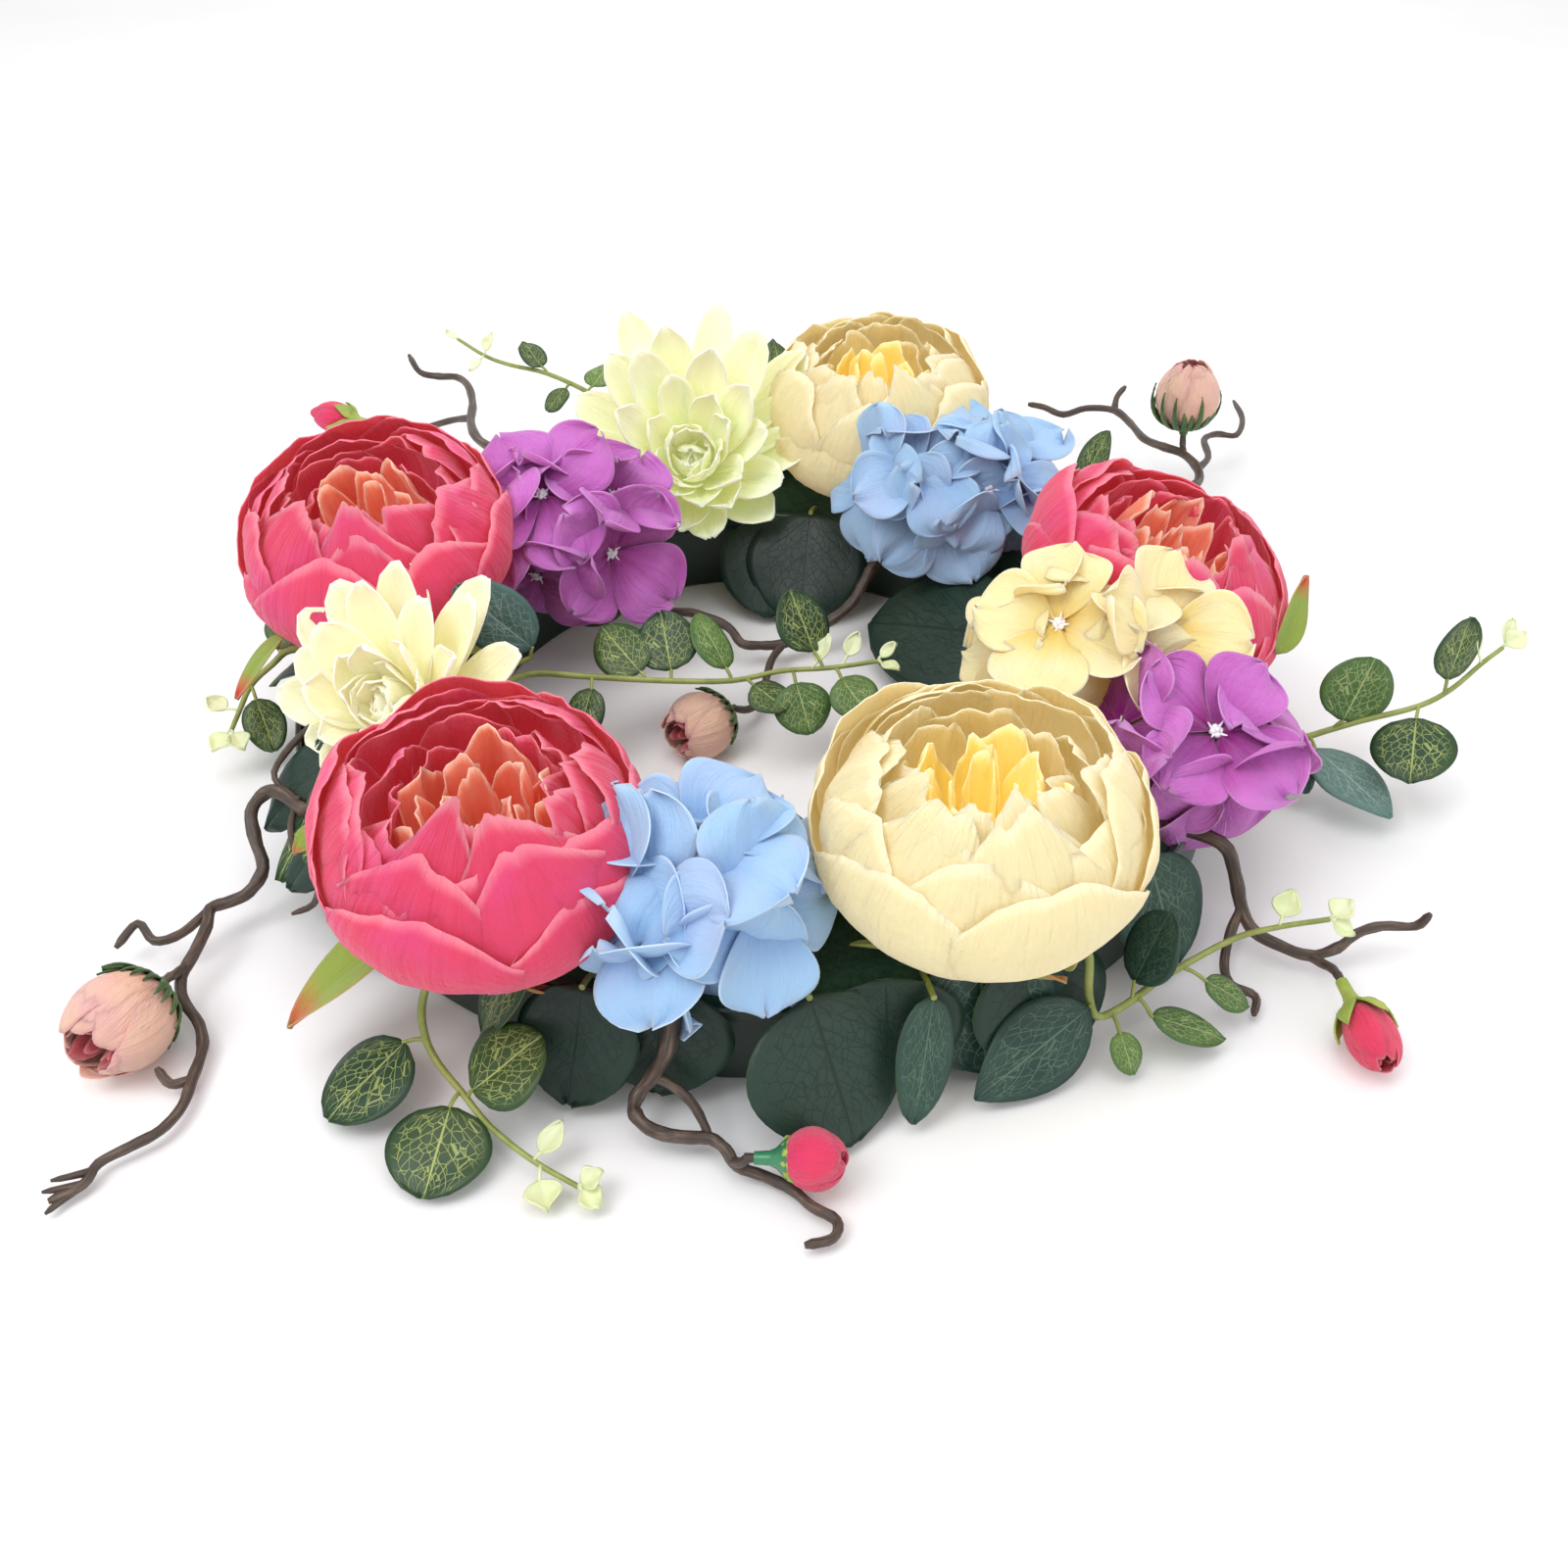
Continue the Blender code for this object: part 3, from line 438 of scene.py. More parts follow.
class Work:
    """One piece in the making."""

    def __init__(self, name, *finishes):
        self.name = name
        self.finishes = finishes
        self.shape = bmesh.new()
        self.uv = self.shape.loops.layers.uv.new("UVMap")
        self.tone = self.shape.verts.layers.float.new("tone")

    def sheet(self, place, across=14, along=12, tone=0.5, finish=0):
        """A grid whose points the function place(u, v) puts, with u and v from 0 to 1."""
        made = bmesh.ops.create_grid(self.shape, x_segments=across, y_segments=along, size=0.5, calc_uvs=True)
        for vert in made["verts"]:
            vert[self.tone] = tone
            vert.co = place(vert.co.x + 0.5, vert.co.y + 0.5)
        for face in {face for vert in made["verts"] for face in vert.link_faces}:
            face.material_index = finish

    def rod(self, points, radii, sides=8, finish=0):
        """A circle extruded through the points and closed at both ends."""
        ends = [points[0] * 2 - points[1], *points, points[-1] * 2 - points[-2]]
        ring = bmesh.ops.create_circle(self.shape, cap_ends=True, segments=sides, radius=1.0)["verts"]
        first_cap = ring[0].link_faces[0]
        loops = [ring]
        for _ in points[1:]:
            near = {edge for vert in loops[-1] for edge in vert.link_edges}
            edges = [edge for edge in near if set(edge.verts) <= set(loops[-1])]
            grown = bmesh.ops.extrude_edge_only(self.shape, edges=edges)["geom"]
            loops.append(self.in_order(grown, loops[-1]))
        twist = (ends[2] - ends[0]).normalized().to_track_quat("Z", "Y")
        for index, (loop, point, radius) in enumerate(zip(loops, points, radii)):
            heading = (ends[index + 2] - ends[index]).normalized()
            twist = (twist @ Vector((0, 0, 1))).rotation_difference(heading) @ twist
            for step, vert in enumerate(loop):
                turn = 2 * math.pi * step / sides
                vert.co = point + twist @ Vector((math.cos(turn), math.sin(turn), 0)) * radius
                vert[self.tone] = 0.5
        last_cap = self.shape.faces.new(loops[-1])
        faces = {face for loop in loops for vert in loop for face in vert.link_faces}
        bmesh.ops.recalc_face_normals(self.shape, faces=list(faces))
        spot = {}
        for index, loop in enumerate(loops):
            spot.update({vert: (step / sides, index) for step, vert in enumerate(loop)})
        for face in faces:
            face.material_index = finish
            shares = {spot[corner.vert][0] for corner in face.loops}
            wraps = face not in (first_cap, last_cap) and shares == {0, 1 - 1 / sides}
            for corner in face.loops:
                share, index = spot[corner.vert]
                corner[self.uv].uv = (1.0 if wraps and share == 0 else share, index * 0.25)

    def in_order(self, grown, loop):
        """The extruded ring's points in the order of the ring they came from."""
        fresh = {item for item in grown if isinstance(item, bmesh.types.BMVert)}
        others = [[edge.other_vert(vert) for edge in vert.link_edges] for vert in loop]
        return [next(vert for vert in linked if vert in fresh) for linked in others]

    def bead(self, centre, radius):
        made = bmesh.ops.create_icosphere(self.shape, subdivisions=2, radius=radius)
        bmesh.ops.translate(self.shape, vec=centre, verts=made["verts"])

    def done(self, body, slot, replaced=(), thickness=0.0, back=0, smooth=40):
        """Turns the work into an object on its body, in place of the replaced nodes, which it hides. slot is
        not used.
        """
        mesh = bpy.data.meshes.new(self.name)
        self.shape.to_mesh(mesh)
        self.shape.free()
        piece = bpy.data.objects.new(self.name, mesh)
        bpy.context.collection.objects.link(piece)
        for finish in self.finishes:
            mesh.materials.append(finish)
        mesh.shade_smooth()
        if thickness:
            wall = piece.modifiers.new("Wall", "SOLIDIFY")
            wall.thickness = thickness
            wall.offset = 0
            wall.material_offset = back
        else:
            mesh.set_sharp_from_angle(angle=math.radians(smooth))
        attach(piece, body)
        if replaced:
            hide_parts(*replaced)
        return piece


# %% [markdown]
# ## Small helpers for places
# A bloom is drawn upright round its own axis. A matrix then stands it on its stem and leans it.

# %% Places


def direction(angle, elevation=0.0):
    turn, rise = math.radians(angle), math.radians(elevation)
    return Vector((math.cos(turn) * math.cos(rise), math.sin(turn) * math.cos(rise), math.sin(rise)))


def ring_point(angle, offset, rise):
    """A point by its offset from the ring's middle circle and its rise above the rim, in mm."""
    return direction(angle) * (RING_MIDDLE + offset * MM) + Vector((0, 0, RIM + rise * MM))


def along(place, axis):
    return Matrix.Translation(place) @ axis.to_track_quat("Z", "Y").to_matrix().to_4x4()


def rim_route(angle, inner, points):
    """Route points in mm from the rim where the piece comes out, as places."""
    anchor = direction(angle) * (HEAD_RADIUS if inner else RING_OUTER)
    return [anchor + Vector(point) * MM for point in points]


def wire_foot(angle, inner):
    """Where a wire comes out of the foam, 7 mm inside the rim it crosses."""
    radius = HEAD_RADIUS + 7 * MM if inner else RING_OUTER - 7 * MM
    return direction(angle) * radius + Vector((0, 0, RIM + 1.5 * MM))


def smooth_route(points, parts=4):
    """Catmull-Rom points through the route."""
    ends = [points[0] * 2 - points[1], *points, points[-1] * 2 - points[-2]]
    route = []
    for before, start, end, after in zip(ends, ends[1:], ends[2:], ends[3:]):
        for step in range(parts):
            t = step / parts
            bend = (before * 2 - start * 5 + end * 4 - after) * t**2
            turn = (start * 3 - before - end * 3 + after) * t**3
            route.append((start * 2 + (end - before) * t + bend + turn) / 2)
    return [*route, points[-1]]


def wobble(x, y, z):
    return noise.noise(Vector((x, y, z)))


# %% [markdown]
# ## Two kinds of petal
# A peony's petals wrap round the bloom like the staves of a barrel, so they are drawn on a
# round: an angle up the side and an angle round the axis. A dahlia's, a hydrangea's or a leaf's
# blade leaves a centre along a curved spine, so it is drawn along that spine. Waves and frayed
# edges are added to both with noise that always gives the same values.

# %% Cup petal


PEAK = 0.34


def cup_petal(frame_of, radius, height, turn, span, close, seed, ruffle, flare):
    """A petal on the round. turn and span are degrees about the axis, close is the angle up its side.

    PEAK is how much lower than its tip a petal's top edge is at its sides.
    """
    top = 1 - math.cos(math.radians(close))
    slant = 0.16 * wobble(seed, 3, 1)

    def place(u, v):
        side = u * 2 - 1
        edge = 1 - PEAK * abs(side) ** 2.2 + slant * side + 0.05 * ruffle * wobble(side * 2.1, seed, 9)
        edge += 0.012 * wobble(side * 9, seed, 3) * v**3
        lift = math.radians(close) * (0.05 + 0.95 * v) * edge
        around = math.radians(turn + span / 2 * side * (1 - 0.12 * v**3) + 5 * wobble(v * 2, seed, 5))
        out = radius * math.sin(lift) * (1 + flare * max(0.0, v - 0.7) ** 1.3 * 3)
        wave = 2.2 * wobble(side * 1.1 + seed, v * 1.3, 1) + 1.2 * wobble(side * 2.6, v * 2.4, seed) * v
        wave += 1.4 * wobble(side * 2.9, seed + 2, v) * v**4 + 1.5 * wobble(side * 5.5, v * 1.2, seed + 7) * v
        out += (wave * ruffle - 1.2 * side**2) * MM * min(1.0, v * 2.5)
        up = height * (1 - math.cos(lift)) / top + 1.5 * ruffle * MM * wobble(side * 2.2, v, seed + 4) * v
        return frame_of @ Vector((math.cos(around) * out, math.sin(around) * out, up))

    return place


# %% Blade


def blade(
    frame_of, length, width, rise, curl, cup, fold, wave, seed, full, blunt, start=0.0, notch=0.0, ruffles=0.0
):
    """A blade whose spine leaves along local X and bends by curl degrees on the way.

    cup lifts both edges and fold sinks the midrib, as shares of the half width. full below 1 moves
    the widest place towards the foot, and blunt below 1 rounds the ends.
    """
    first = math.radians(rise)
    bend = math.radians(curl)

    def place(u, v):
        side = u * 2 - 1
        way = 0.004 + 0.992 * v
        slope = first + bend * way
        spine = Vector((math.sin(slope) - math.sin(first), 0, math.cos(first) - math.cos(slope)))
        normal = Vector((-math.sin(slope), 0, math.cos(slope)))
        half = width / 2 * math.sin(math.pi * way**full) ** blunt
        rim = min(1.0, math.hypot(side, (v - 0.45) * 1.7))
        round_edge = math.atan2(side, v - 0.45)
        half *= 1 + 0.16 * notch * wobble(round_edge * 1.6, seed, 2) * 10 * rim**3
        off = half * (cup * side**2 - fold * math.exp(-((side / 0.16) ** 2)))
        swell = math.sin(side * 3 + seed + v * 5) * abs(side) + 1.2 * wobble(side * 1.3, v * 2, seed)
        off += wave * MM * swell * v
        frill = math.sin(round_edge * 4 + seed) + 1.6 * wobble(round_edge * 2.3, seed, 7)
        off += ruffles * MM * frill * rim**3
        dent = notch * length * math.exp(-((side / 0.22) ** 2)) * v**6
        forward = Vector((math.cos(slope), 0, math.sin(slope)))
        bent = spine * (length / bend) + normal * off - forward * dent
        return frame_of @ (Vector((start, side * half, 0)) + bent)

    return place


def spun(angle):
    return Matrix.Rotation(math.radians(angle), 4, "Z")


# %% [markdown]
# ## Base
# The tray is one moulding: a channel with rounded rims, spun from its section. The foam is spun in
# the same way, then roughened, because a knife-cut block is never quite even.

# %% Tray and foam


def spun_ring(name, section, steps, finish):
    work = Work(name, finish)
    points = [work.shape.verts.new((radius, 0, height)) for radius, height in section]
    edges = [work.shape.edges.new(pair) for pair in zip(points, [*points[1:], points[0]])]
    turn = {"cent": (0, 0, 0), "axis": (0, 0, 1), "angle": 2 * math.pi, "steps": steps, "use_merge": True}
    bmesh.ops.spin(work.shape, geom=[*points, *edges], use_duplicate=False, **turn)
    bmesh.ops.remove_doubles(work.shape, verts=work.shape.verts, dist=0.00001)
    bmesh.ops.recalc_face_normals(work.shape, faces=work.shape.faces)
    return work


WALL = 2 * MM
tray_section = [
    (RING_OUTER - 0.6 * MM, RIM),
    (RING_OUTER, RIM - 0.8 * MM),
    (RING_OUTER, RIM - 4 * MM),
    (RING_OUTER - 0.8 * MM, RIM - 5 * MM),
    (RING_OUTER - 0.8 * MM, 1.5 * MM),
    (RING_OUTER - 2.0 * MM, 0),
    (HEAD_RADIUS + 2.0 * MM, 0),
    (HEAD_RADIUS + 0.8 * MM, 1.5 * MM),
    (HEAD_RADIUS + 0.8 * MM, RIM - 5 * MM),
    (HEAD_RADIUS, RIM - 4 * MM),
    (HEAD_RADIUS, RIM - 0.8 * MM),
    (HEAD_RADIUS + 0.6 * MM, RIM),
    (HEAD_RADIUS + WALL, RIM),
    (HEAD_RADIUS + WALL + 0.4 * MM, WALL),
    (RING_OUTER - WALL - 0.4 * MM, WALL),
    (RING_OUTER - WALL, RIM),
]
spun_ring("tray_moulding", tray_section, 128, TRAY).done("crown", "tray", ["base_tray"], smooth=30)

foam_edge = 2.6 * MM
foam_section = [
    (RING_OUTER - foam_edge, RIM - 1 * MM),
    (RING_OUTER - foam_edge, WALL * 1.3),
    (HEAD_RADIUS + foam_edge, WALL * 1.3),
    (HEAD_RADIUS + foam_edge, RIM - 1 * MM),
]
for step in range(1, 8):
    along_top = HEAD_RADIUS + foam_edge + (RING_WIDTH - 2 * foam_edge) * step / 8
    foam_section.append((along_top, RIM + 1 * MM))
foam_work = spun_ring("foam_block", foam_section, 180, FOAM)
for vert in foam_work.shape.verts:
    if vert.co.z > RIM:
        vert.co.z += 0.7 * MM * wobble(*(vert.co * 160)) + 0.3 * MM * wobble(*(vert.co * 700))
foam_work.done("crown", "foam", ["foam_ring"], smooth=60)

# %% [markdown]
# ## Peonies
# A peony has outer petals that close over it, two or three rounds of taller ruffled petals inside,
# and a tight heart in another colour. Each round is a loop, with every petal a little different.

# %% Peony values
PEONIES = {
    "pink_peony_front_left": (239, 14, 11, 14, 280, 43.5, 48, PINK, PINK_HEART, "peony_pink", 3),
    "cream_peony_front": (297, 7, 11, 8, 262, 45, 48, CREAM, CREAM_HEART, "peony_cream", 11),
    "pink_peony_back_left": (167, 3, 12, 20, 255, 45, 48, PINK, PINK_HEART, "peony_pink", 23),
    "pink_peony_right": (0, -8, 12, 24, 352, 45, 48, PINK, PINK_HEART, "peony_pink", 31),
    "cream_peony_back": (70, 5, 12, 16, 262, 42, 47, CREAM, CREAM_HEART, "peony_cream", 47),
}
# Rounds of petals from the outside in: count, share of the radius, share of the height, span in
# degrees, closing angle, ruffle and flare.
OUTER_ROUNDS = [
    (6, 1.0, 0.80, 94, 112, 0.7, 0.0),
    (6, 0.98, 0.95, 94, 124, 0.8, 0.0),
    (6, 0.94, 1.01, 92, 134, 1.0, 0.0),
]
INNER_ROUNDS = [
    (6, 0.85, 1.03, 88, 138, 1.1, 0.0),
    (6, 0.71, 1.0, 86, 132, 1.3, 0.0),
    (6, 0.56, 0.94, 84, 126, 1.4, 0.0),
]
HEART_ROUNDS = [
    (5, 0.45, 0.95, 90, 114, 1.5, 0.0),
    (5, 0.32, 0.93, 92, 108, 1.4, 0.02),
    (4, 0.19, 0.89, 110, 98, 1.1, 0.02),
]
# How much further the petals close on the side that the bloom leans to, in degrees.
HOOD = 32


def petal_rounds(work, upright, radius, height, rounds, seed, across=14, along_steps=12, hood=0.0):
    draw = random.Random(seed)
    for number, (count, wide, tall, span, close, ruffle, flare) in enumerate(rounds):
        for petal in range(count):
            turn = 360 / count * (petal + 0.5 * (number % 2)) + draw.uniform(-9, 9)
            size = radius * wide * draw.uniform(0.95, 1.03)
            hooded = (0.15 - 0.5 * math.sin(math.radians(turn))) * hood
            rise = height * (tall * draw.uniform(0.93, 1.03) + 0.006 * hooded)
            wider = span * draw.uniform(0.9, 1.12)
            closed = close + draw.uniform(-5, 5) + hooded
            place = cup_petal(upright, size, rise, turn, wider, closed, draw.uniform(0, 50), ruffle, flare)
            work.sheet(place, across, along_steps, draw.random())


def peony(name, angle, offset, rise, lean, toward, radius, height, cloth, heart_cloth, slot, seed):
    upright = along(ring_point(angle, offset, rise), direction(toward, 90 - lean))
    radius, height = radius * MM, height * MM
    outer = Work(f"{name}_outer_petals", cloth)
    petal_rounds(outer, upright, radius, height, OUTER_ROUNDS, seed, 22, 18, HOOD * 0.7)
    outer.done("crown", slot, [f"{name}_petals"], 0.32 * MM)
    inner = Work(f"{name}_inner_petals", cloth)
    petal_rounds(inner, upright, radius, height, INNER_ROUNDS, seed + 1, 20, 16, HOOD)
    inner.done("crown", slot, [f"{name}_petals"], 0.32 * MM)
    heart = Work(f"{name}_heart_petals", heart_cloth)
    petal_rounds(heart, upright, radius, height, HEART_ROUNDS, seed + 2, 14, 12)
    heart.done("crown", f"{slot}_heart", [f"{name}_heart"], 0.32 * MM)
    return upright


for name, values in PEONIES.items():
    peony(name, *values)
print(len(PEONIES), "peonies")

# %% [markdown]
# ## Calyx, sepals and stem
# Under each bloom a moulded calyx holds the wire, and cloth sepals lie against the outer petals.

# %% Stem under a bloom
FOAM_DEPTH = 17 * MM


def bloom_stem(name, upright, calyx, sepals, seed):
    """The calyx and the wire down into the foam, with sepals that hug the bloom from below."""
    work = Work(f"{name}_calyx_stem", STEM, SEPAL)
    top = upright.translation
    axis = (upright.to_3x3() @ Vector((0, 0, 1))).normalized()
    length = (top.z - RIM) / axis.z + FOAM_DEPTH
    steps = [2 * MM, 0, -3 * MM, -6 * MM, -9 * MM, -length]
    radii = [calyx * 0.5, calyx, calyx * 0.8, 2.6 * MM, 1.6 * MM, 1.6 * MM]
    work.rod([top + axis * step for step in steps], radii, 12)
    stem = work.done("crown", "stem", [f"{name}_stem"], smooth=60)
    if not sepals:
        return stem
    leaves = Work(f"{name}_sepals", SEPAL)
    draw = random.Random(seed)
    for number in range(sepals):
        turned = upright @ spun(360 / sepals * number + draw.uniform(-10, 10))
        turned = turned @ Matrix.Translation((0, 0, -1.5 * MM))
        length = draw.uniform(26, 36) * MM
        shape = blade(turned, length, length * 0.5, 12, 30, 0.25, 0.05, 1.5, number, 0.7, 0.8, start=6 * MM)
        leaves.sheet(shape, 8, 10, draw.random())
    leaves.done("crown", "stem", (), 0.4 * MM)
    return stem


for name, (angle, offset, rise, lean, toward, radius, *_) in PEONIES.items():
    upright = along(ring_point(angle, offset, rise), direction(toward, 90 - lean))
    bloom_stem(name, upright, radius * 0.28 * MM, 5, angle)

# %% [markdown]
# ## Dahlias
# A dahlia is rounds of spoon-shaped petals. The longest lie lowest and stand out widest, and each
# round inside is shorter and steeper, down to a tight rosette that closes over the middle.

# %% Dahlia
DAHLIAS = {
    "dahlia_back": (104, -16, 14, 40, 270, 42, DAHLIA, 5),
    "dahlia_left": (201, -9, 8, 34, 240, 36, DAHLIA_WHITE, 8),
}
# Rounds: count, share of the radius that is the petal's length, width in mm, rise and curl in degrees.
DAHLIA_ROUNDS = [
    (9, 1.16, 17, 10, 30),
    (9, 1.12, 17, 24, 26),
    (9, 0.98, 16, 38, 22),
    (8, 0.76, 15, 48, 34),
    (8, 0.58, 14, 56, 52),
    (6, 0.44, 12, 62, 70),
    (5, 0.32, 11, 70, 84),
]


def dahlia(name, angle, offset, rise, lean, toward, radius, cloth, seed):
    upright = along(ring_point(angle, offset, rise), direction(toward, 90 - lean))
    draw = random.Random(seed)
    outer = Work(f"{name}_long_petals", cloth)
    inner = Work(f"{name}_rosette", cloth)
    for number, (count, reach, width, lift, curl) in enumerate(DAHLIA_ROUNDS):
        work = outer if number < 3 else inner
        for petal in range(count):
            angle_round = 360 / count * (petal + 0.5 * (number % 2)) + draw.uniform(-6, 6)
            longer = 1 + 0.26 * math.sin(math.radians(angle_round))
            seat = upright @ spun(angle_round) @ Matrix.Translation((0, 0, (1.0 + 0.7 * number) * MM))
            length = radius * reach * longer * draw.uniform(0.92, 1.06) * MM
            wide = width * draw.uniform(0.92, 1.1) * MM
            bends = (lift + draw.uniform(-7, 7), curl + draw.uniform(-8, 8))
            spoon = {"cup": 0.38, "fold": 0.07, "wave": 0.9, "full": 1.6, "blunt": 0.42, "start": 2.5 * MM}
            shape = blade(seat, length, wide, *bends, **spoon, seed=draw.uniform(0, 9))
            work.sheet(shape, 8, 12, draw.random())
    outer.done("crown", "dahlia_cream", [f"{name}_petals"], 0.5 * MM)
    inner.done("crown", "dahlia_cream", [f"{name}_petals"], 0.5 * MM)
    bloom_stem(name, upright, radius * 0.22 * MM, 0, seed)


for name, values in DAHLIAS.items():
    dahlia(name, *values)

# %% [markdown]
# ## Hydrangea heads
# Each head is a cluster of large four-petalled florets on short green stalks that meet on the main
# stem. Every floret has a cluster of white beads in its middle. The florets spread over the
# rounded head, tilted outwards, and their soft petals overlap.

# %% Hydrangea
HYDRANGEAS = {
    "purple_hydrangea_back": (146, -40, 26, (36, 27, 26), 143, -14, PURPLE, "hydrangea_purple", 2),
    "blue_hydrangea_back": (45, -30, 31, (38, 24, 24), 43, -12, BLUE, "hydrangea_blue", 5),
    "cream_hydrangea_right": (338, -16, 37, (38, 27, 27), 338, -12, BUTTER, "hydrangea_cream", 9),
    "purple_hydrangea_right": (331, 19, 24, (34, 26, 20), 329, 10, PURPLE, "hydrangea_purple", 12),
    "blue_hydrangea_front": (264, 8, 26, (32, 32, 23), 265, 4, BLUE, "hydrangea_blue", 17),
}
# Florets of each head: azimuth and elevation of the spot on the head, spin, and petal length in mm.
FLORETS = {
    "purple_hydrangea_back": [
        (250, 62, 45, 28), (355, 38, 12, 26), (318, -12, 30, 28), (165, 30, 20, 29),
        (80, 40, 60, 25), (240, -48, 40, 30), (205, 4, 70, 26), (135, 12, 40, 28),
    ],
    "blue_hydrangea_back": [
        (235, 38, 40, 24), (20, 45, 15, 26), (300, 20, 60, 25), (110, 45, 30, 24),
        (190, 4, 20, 26), (312, -52, 45, 28), (350, 8, 70, 26), (262, -10, 35, 26),
    ],
    "cream_hydrangea_right": [
        (60, 62, 35, 26), (225, 46, 5, 27), (322, 36, 50, 26), (285, -5, 20, 24),
        (180, 0, 40, 23), (140, 35, 60, 22),
    ],
    "purple_hydrangea_right": [
        (285, 52, 45, 26), (188, 24, 20, 26), (300, -32, 60, 27), (222, -32, 10, 26),
        (20, 20, 30, 24),
    ],
    "blue_hydrangea_front": [
        (100, 30, 10, 26), (275, 75, 50, 28), (232, 22, 20, 29), (315, 20, 75, 27),
        (268, -40, 45, 32), (35, 28, 30, 24), (195, 4, 30, 27), (212, -34, 65, 31),
    ],
}
# How far out the spots lie, as a share of the head's half sizes.
SPREAD = 0.68


def floret(work, beads, centre, normal, spin, length, seed):
    """Four broad wavy petals, a little cupped, and the bead cluster."""
    seat = along(centre, normal)
    draw = random.Random(seed)
    for petal in range(4):
        turned = seat @ spun(spin + 90 * petal + draw.uniform(-9, 9))
        turned = turned @ Matrix.Translation((0, 0, 0.7 * (petal % 2) * MM))
        size = length * draw.uniform(0.9, 1.08) * MM
        bends = (draw.uniform(6, 26), draw.uniform(-52, 4), draw.uniform(-0.14, 0.16))
        soft = {"fold": 0.05, "wave": 2.2, "seed": draw.uniform(0, 9), "full": 1.45, "blunt": 0.56}
        width = size * draw.uniform(1.0, 1.16)
        shape = blade(turned, size, width, *bends, **soft, start=0.8 * MM, notch=0.06, ruffles=1.1)
        work.sheet(shape, 22, 20, draw.random())
    for number in range(5):
        offset = Vector((0, 0, 2.0 * MM))
        if number:
            offset = spun(90 * number + spin + 45) @ Vector((1.25 * MM, 0, 1.3 * MM))
            spike = spun(90 * number + spin) @ Vector((1.0 * MM, 0, 0.8 * MM))
            beads.rod([seat @ (spike * step) for step in (1.0, 2.0, 3.2)], [0.5 * MM, 0.45 * MM, 0.2 * MM], 6)
        beads.bead(seat @ offset, 0.95 * MM)


def hydrangea(name, angle, offset, rise, sizes, stem_angle, stem_offset, cloth, slot, seed):
    centre = ring_point(angle, offset, rise)
    sizes = Vector(sizes) * MM
    petals = Work(f"{name}_floret_petals", cloth)
    beads = Work(f"{name}_beads", BEAD)
    stalks = Work(f"{name}_stalks", STEM)
    foot = ring_point(stem_angle, stem_offset, 0)
    fork = centre.lerp(foot, 0.55)
    for number, (turn, lift, spin, length) in enumerate(FLORETS[name]):
        way = direction(turn, lift)
        spot = centre + Vector(part * size for part, size in zip(way, sizes)) * SPREAD
        outward = Vector(part / size for part, size in zip(way, sizes)).normalized()
        normal = outward.lerp(Vector((0, -0.35, 1)), 0.3)
        floret(petals, beads, spot, normal.normalized(), spin, length, seed * 10 + number)
        bend = fork.lerp(spot, 0.5) + Vector((0, 0, 2 * MM))
        stalks.rod(smooth_route([fork, bend, spot - normal.normalized() * MM], 3), [1.0 * MM] * 7, 8)
    upward = (fork - foot).normalized()
    main = [fork + upward * 3 * MM, fork, foot, foot - upward * FOAM_DEPTH]
    stalks.rod(main, [1.0 * MM, 1.7 * MM, 1.6 * MM, 1.6 * MM], 10)
    petals.done("crown", slot, [f"{name}_florets"], 0.4 * MM)
    beads.done("crown", slot, (), smooth=60)
    stalks.done("crown", "stem", [f"{name}_stem"], smooth=60)


for name, values in HYDRANGEAS.items():
    hydrangea(name, *values)
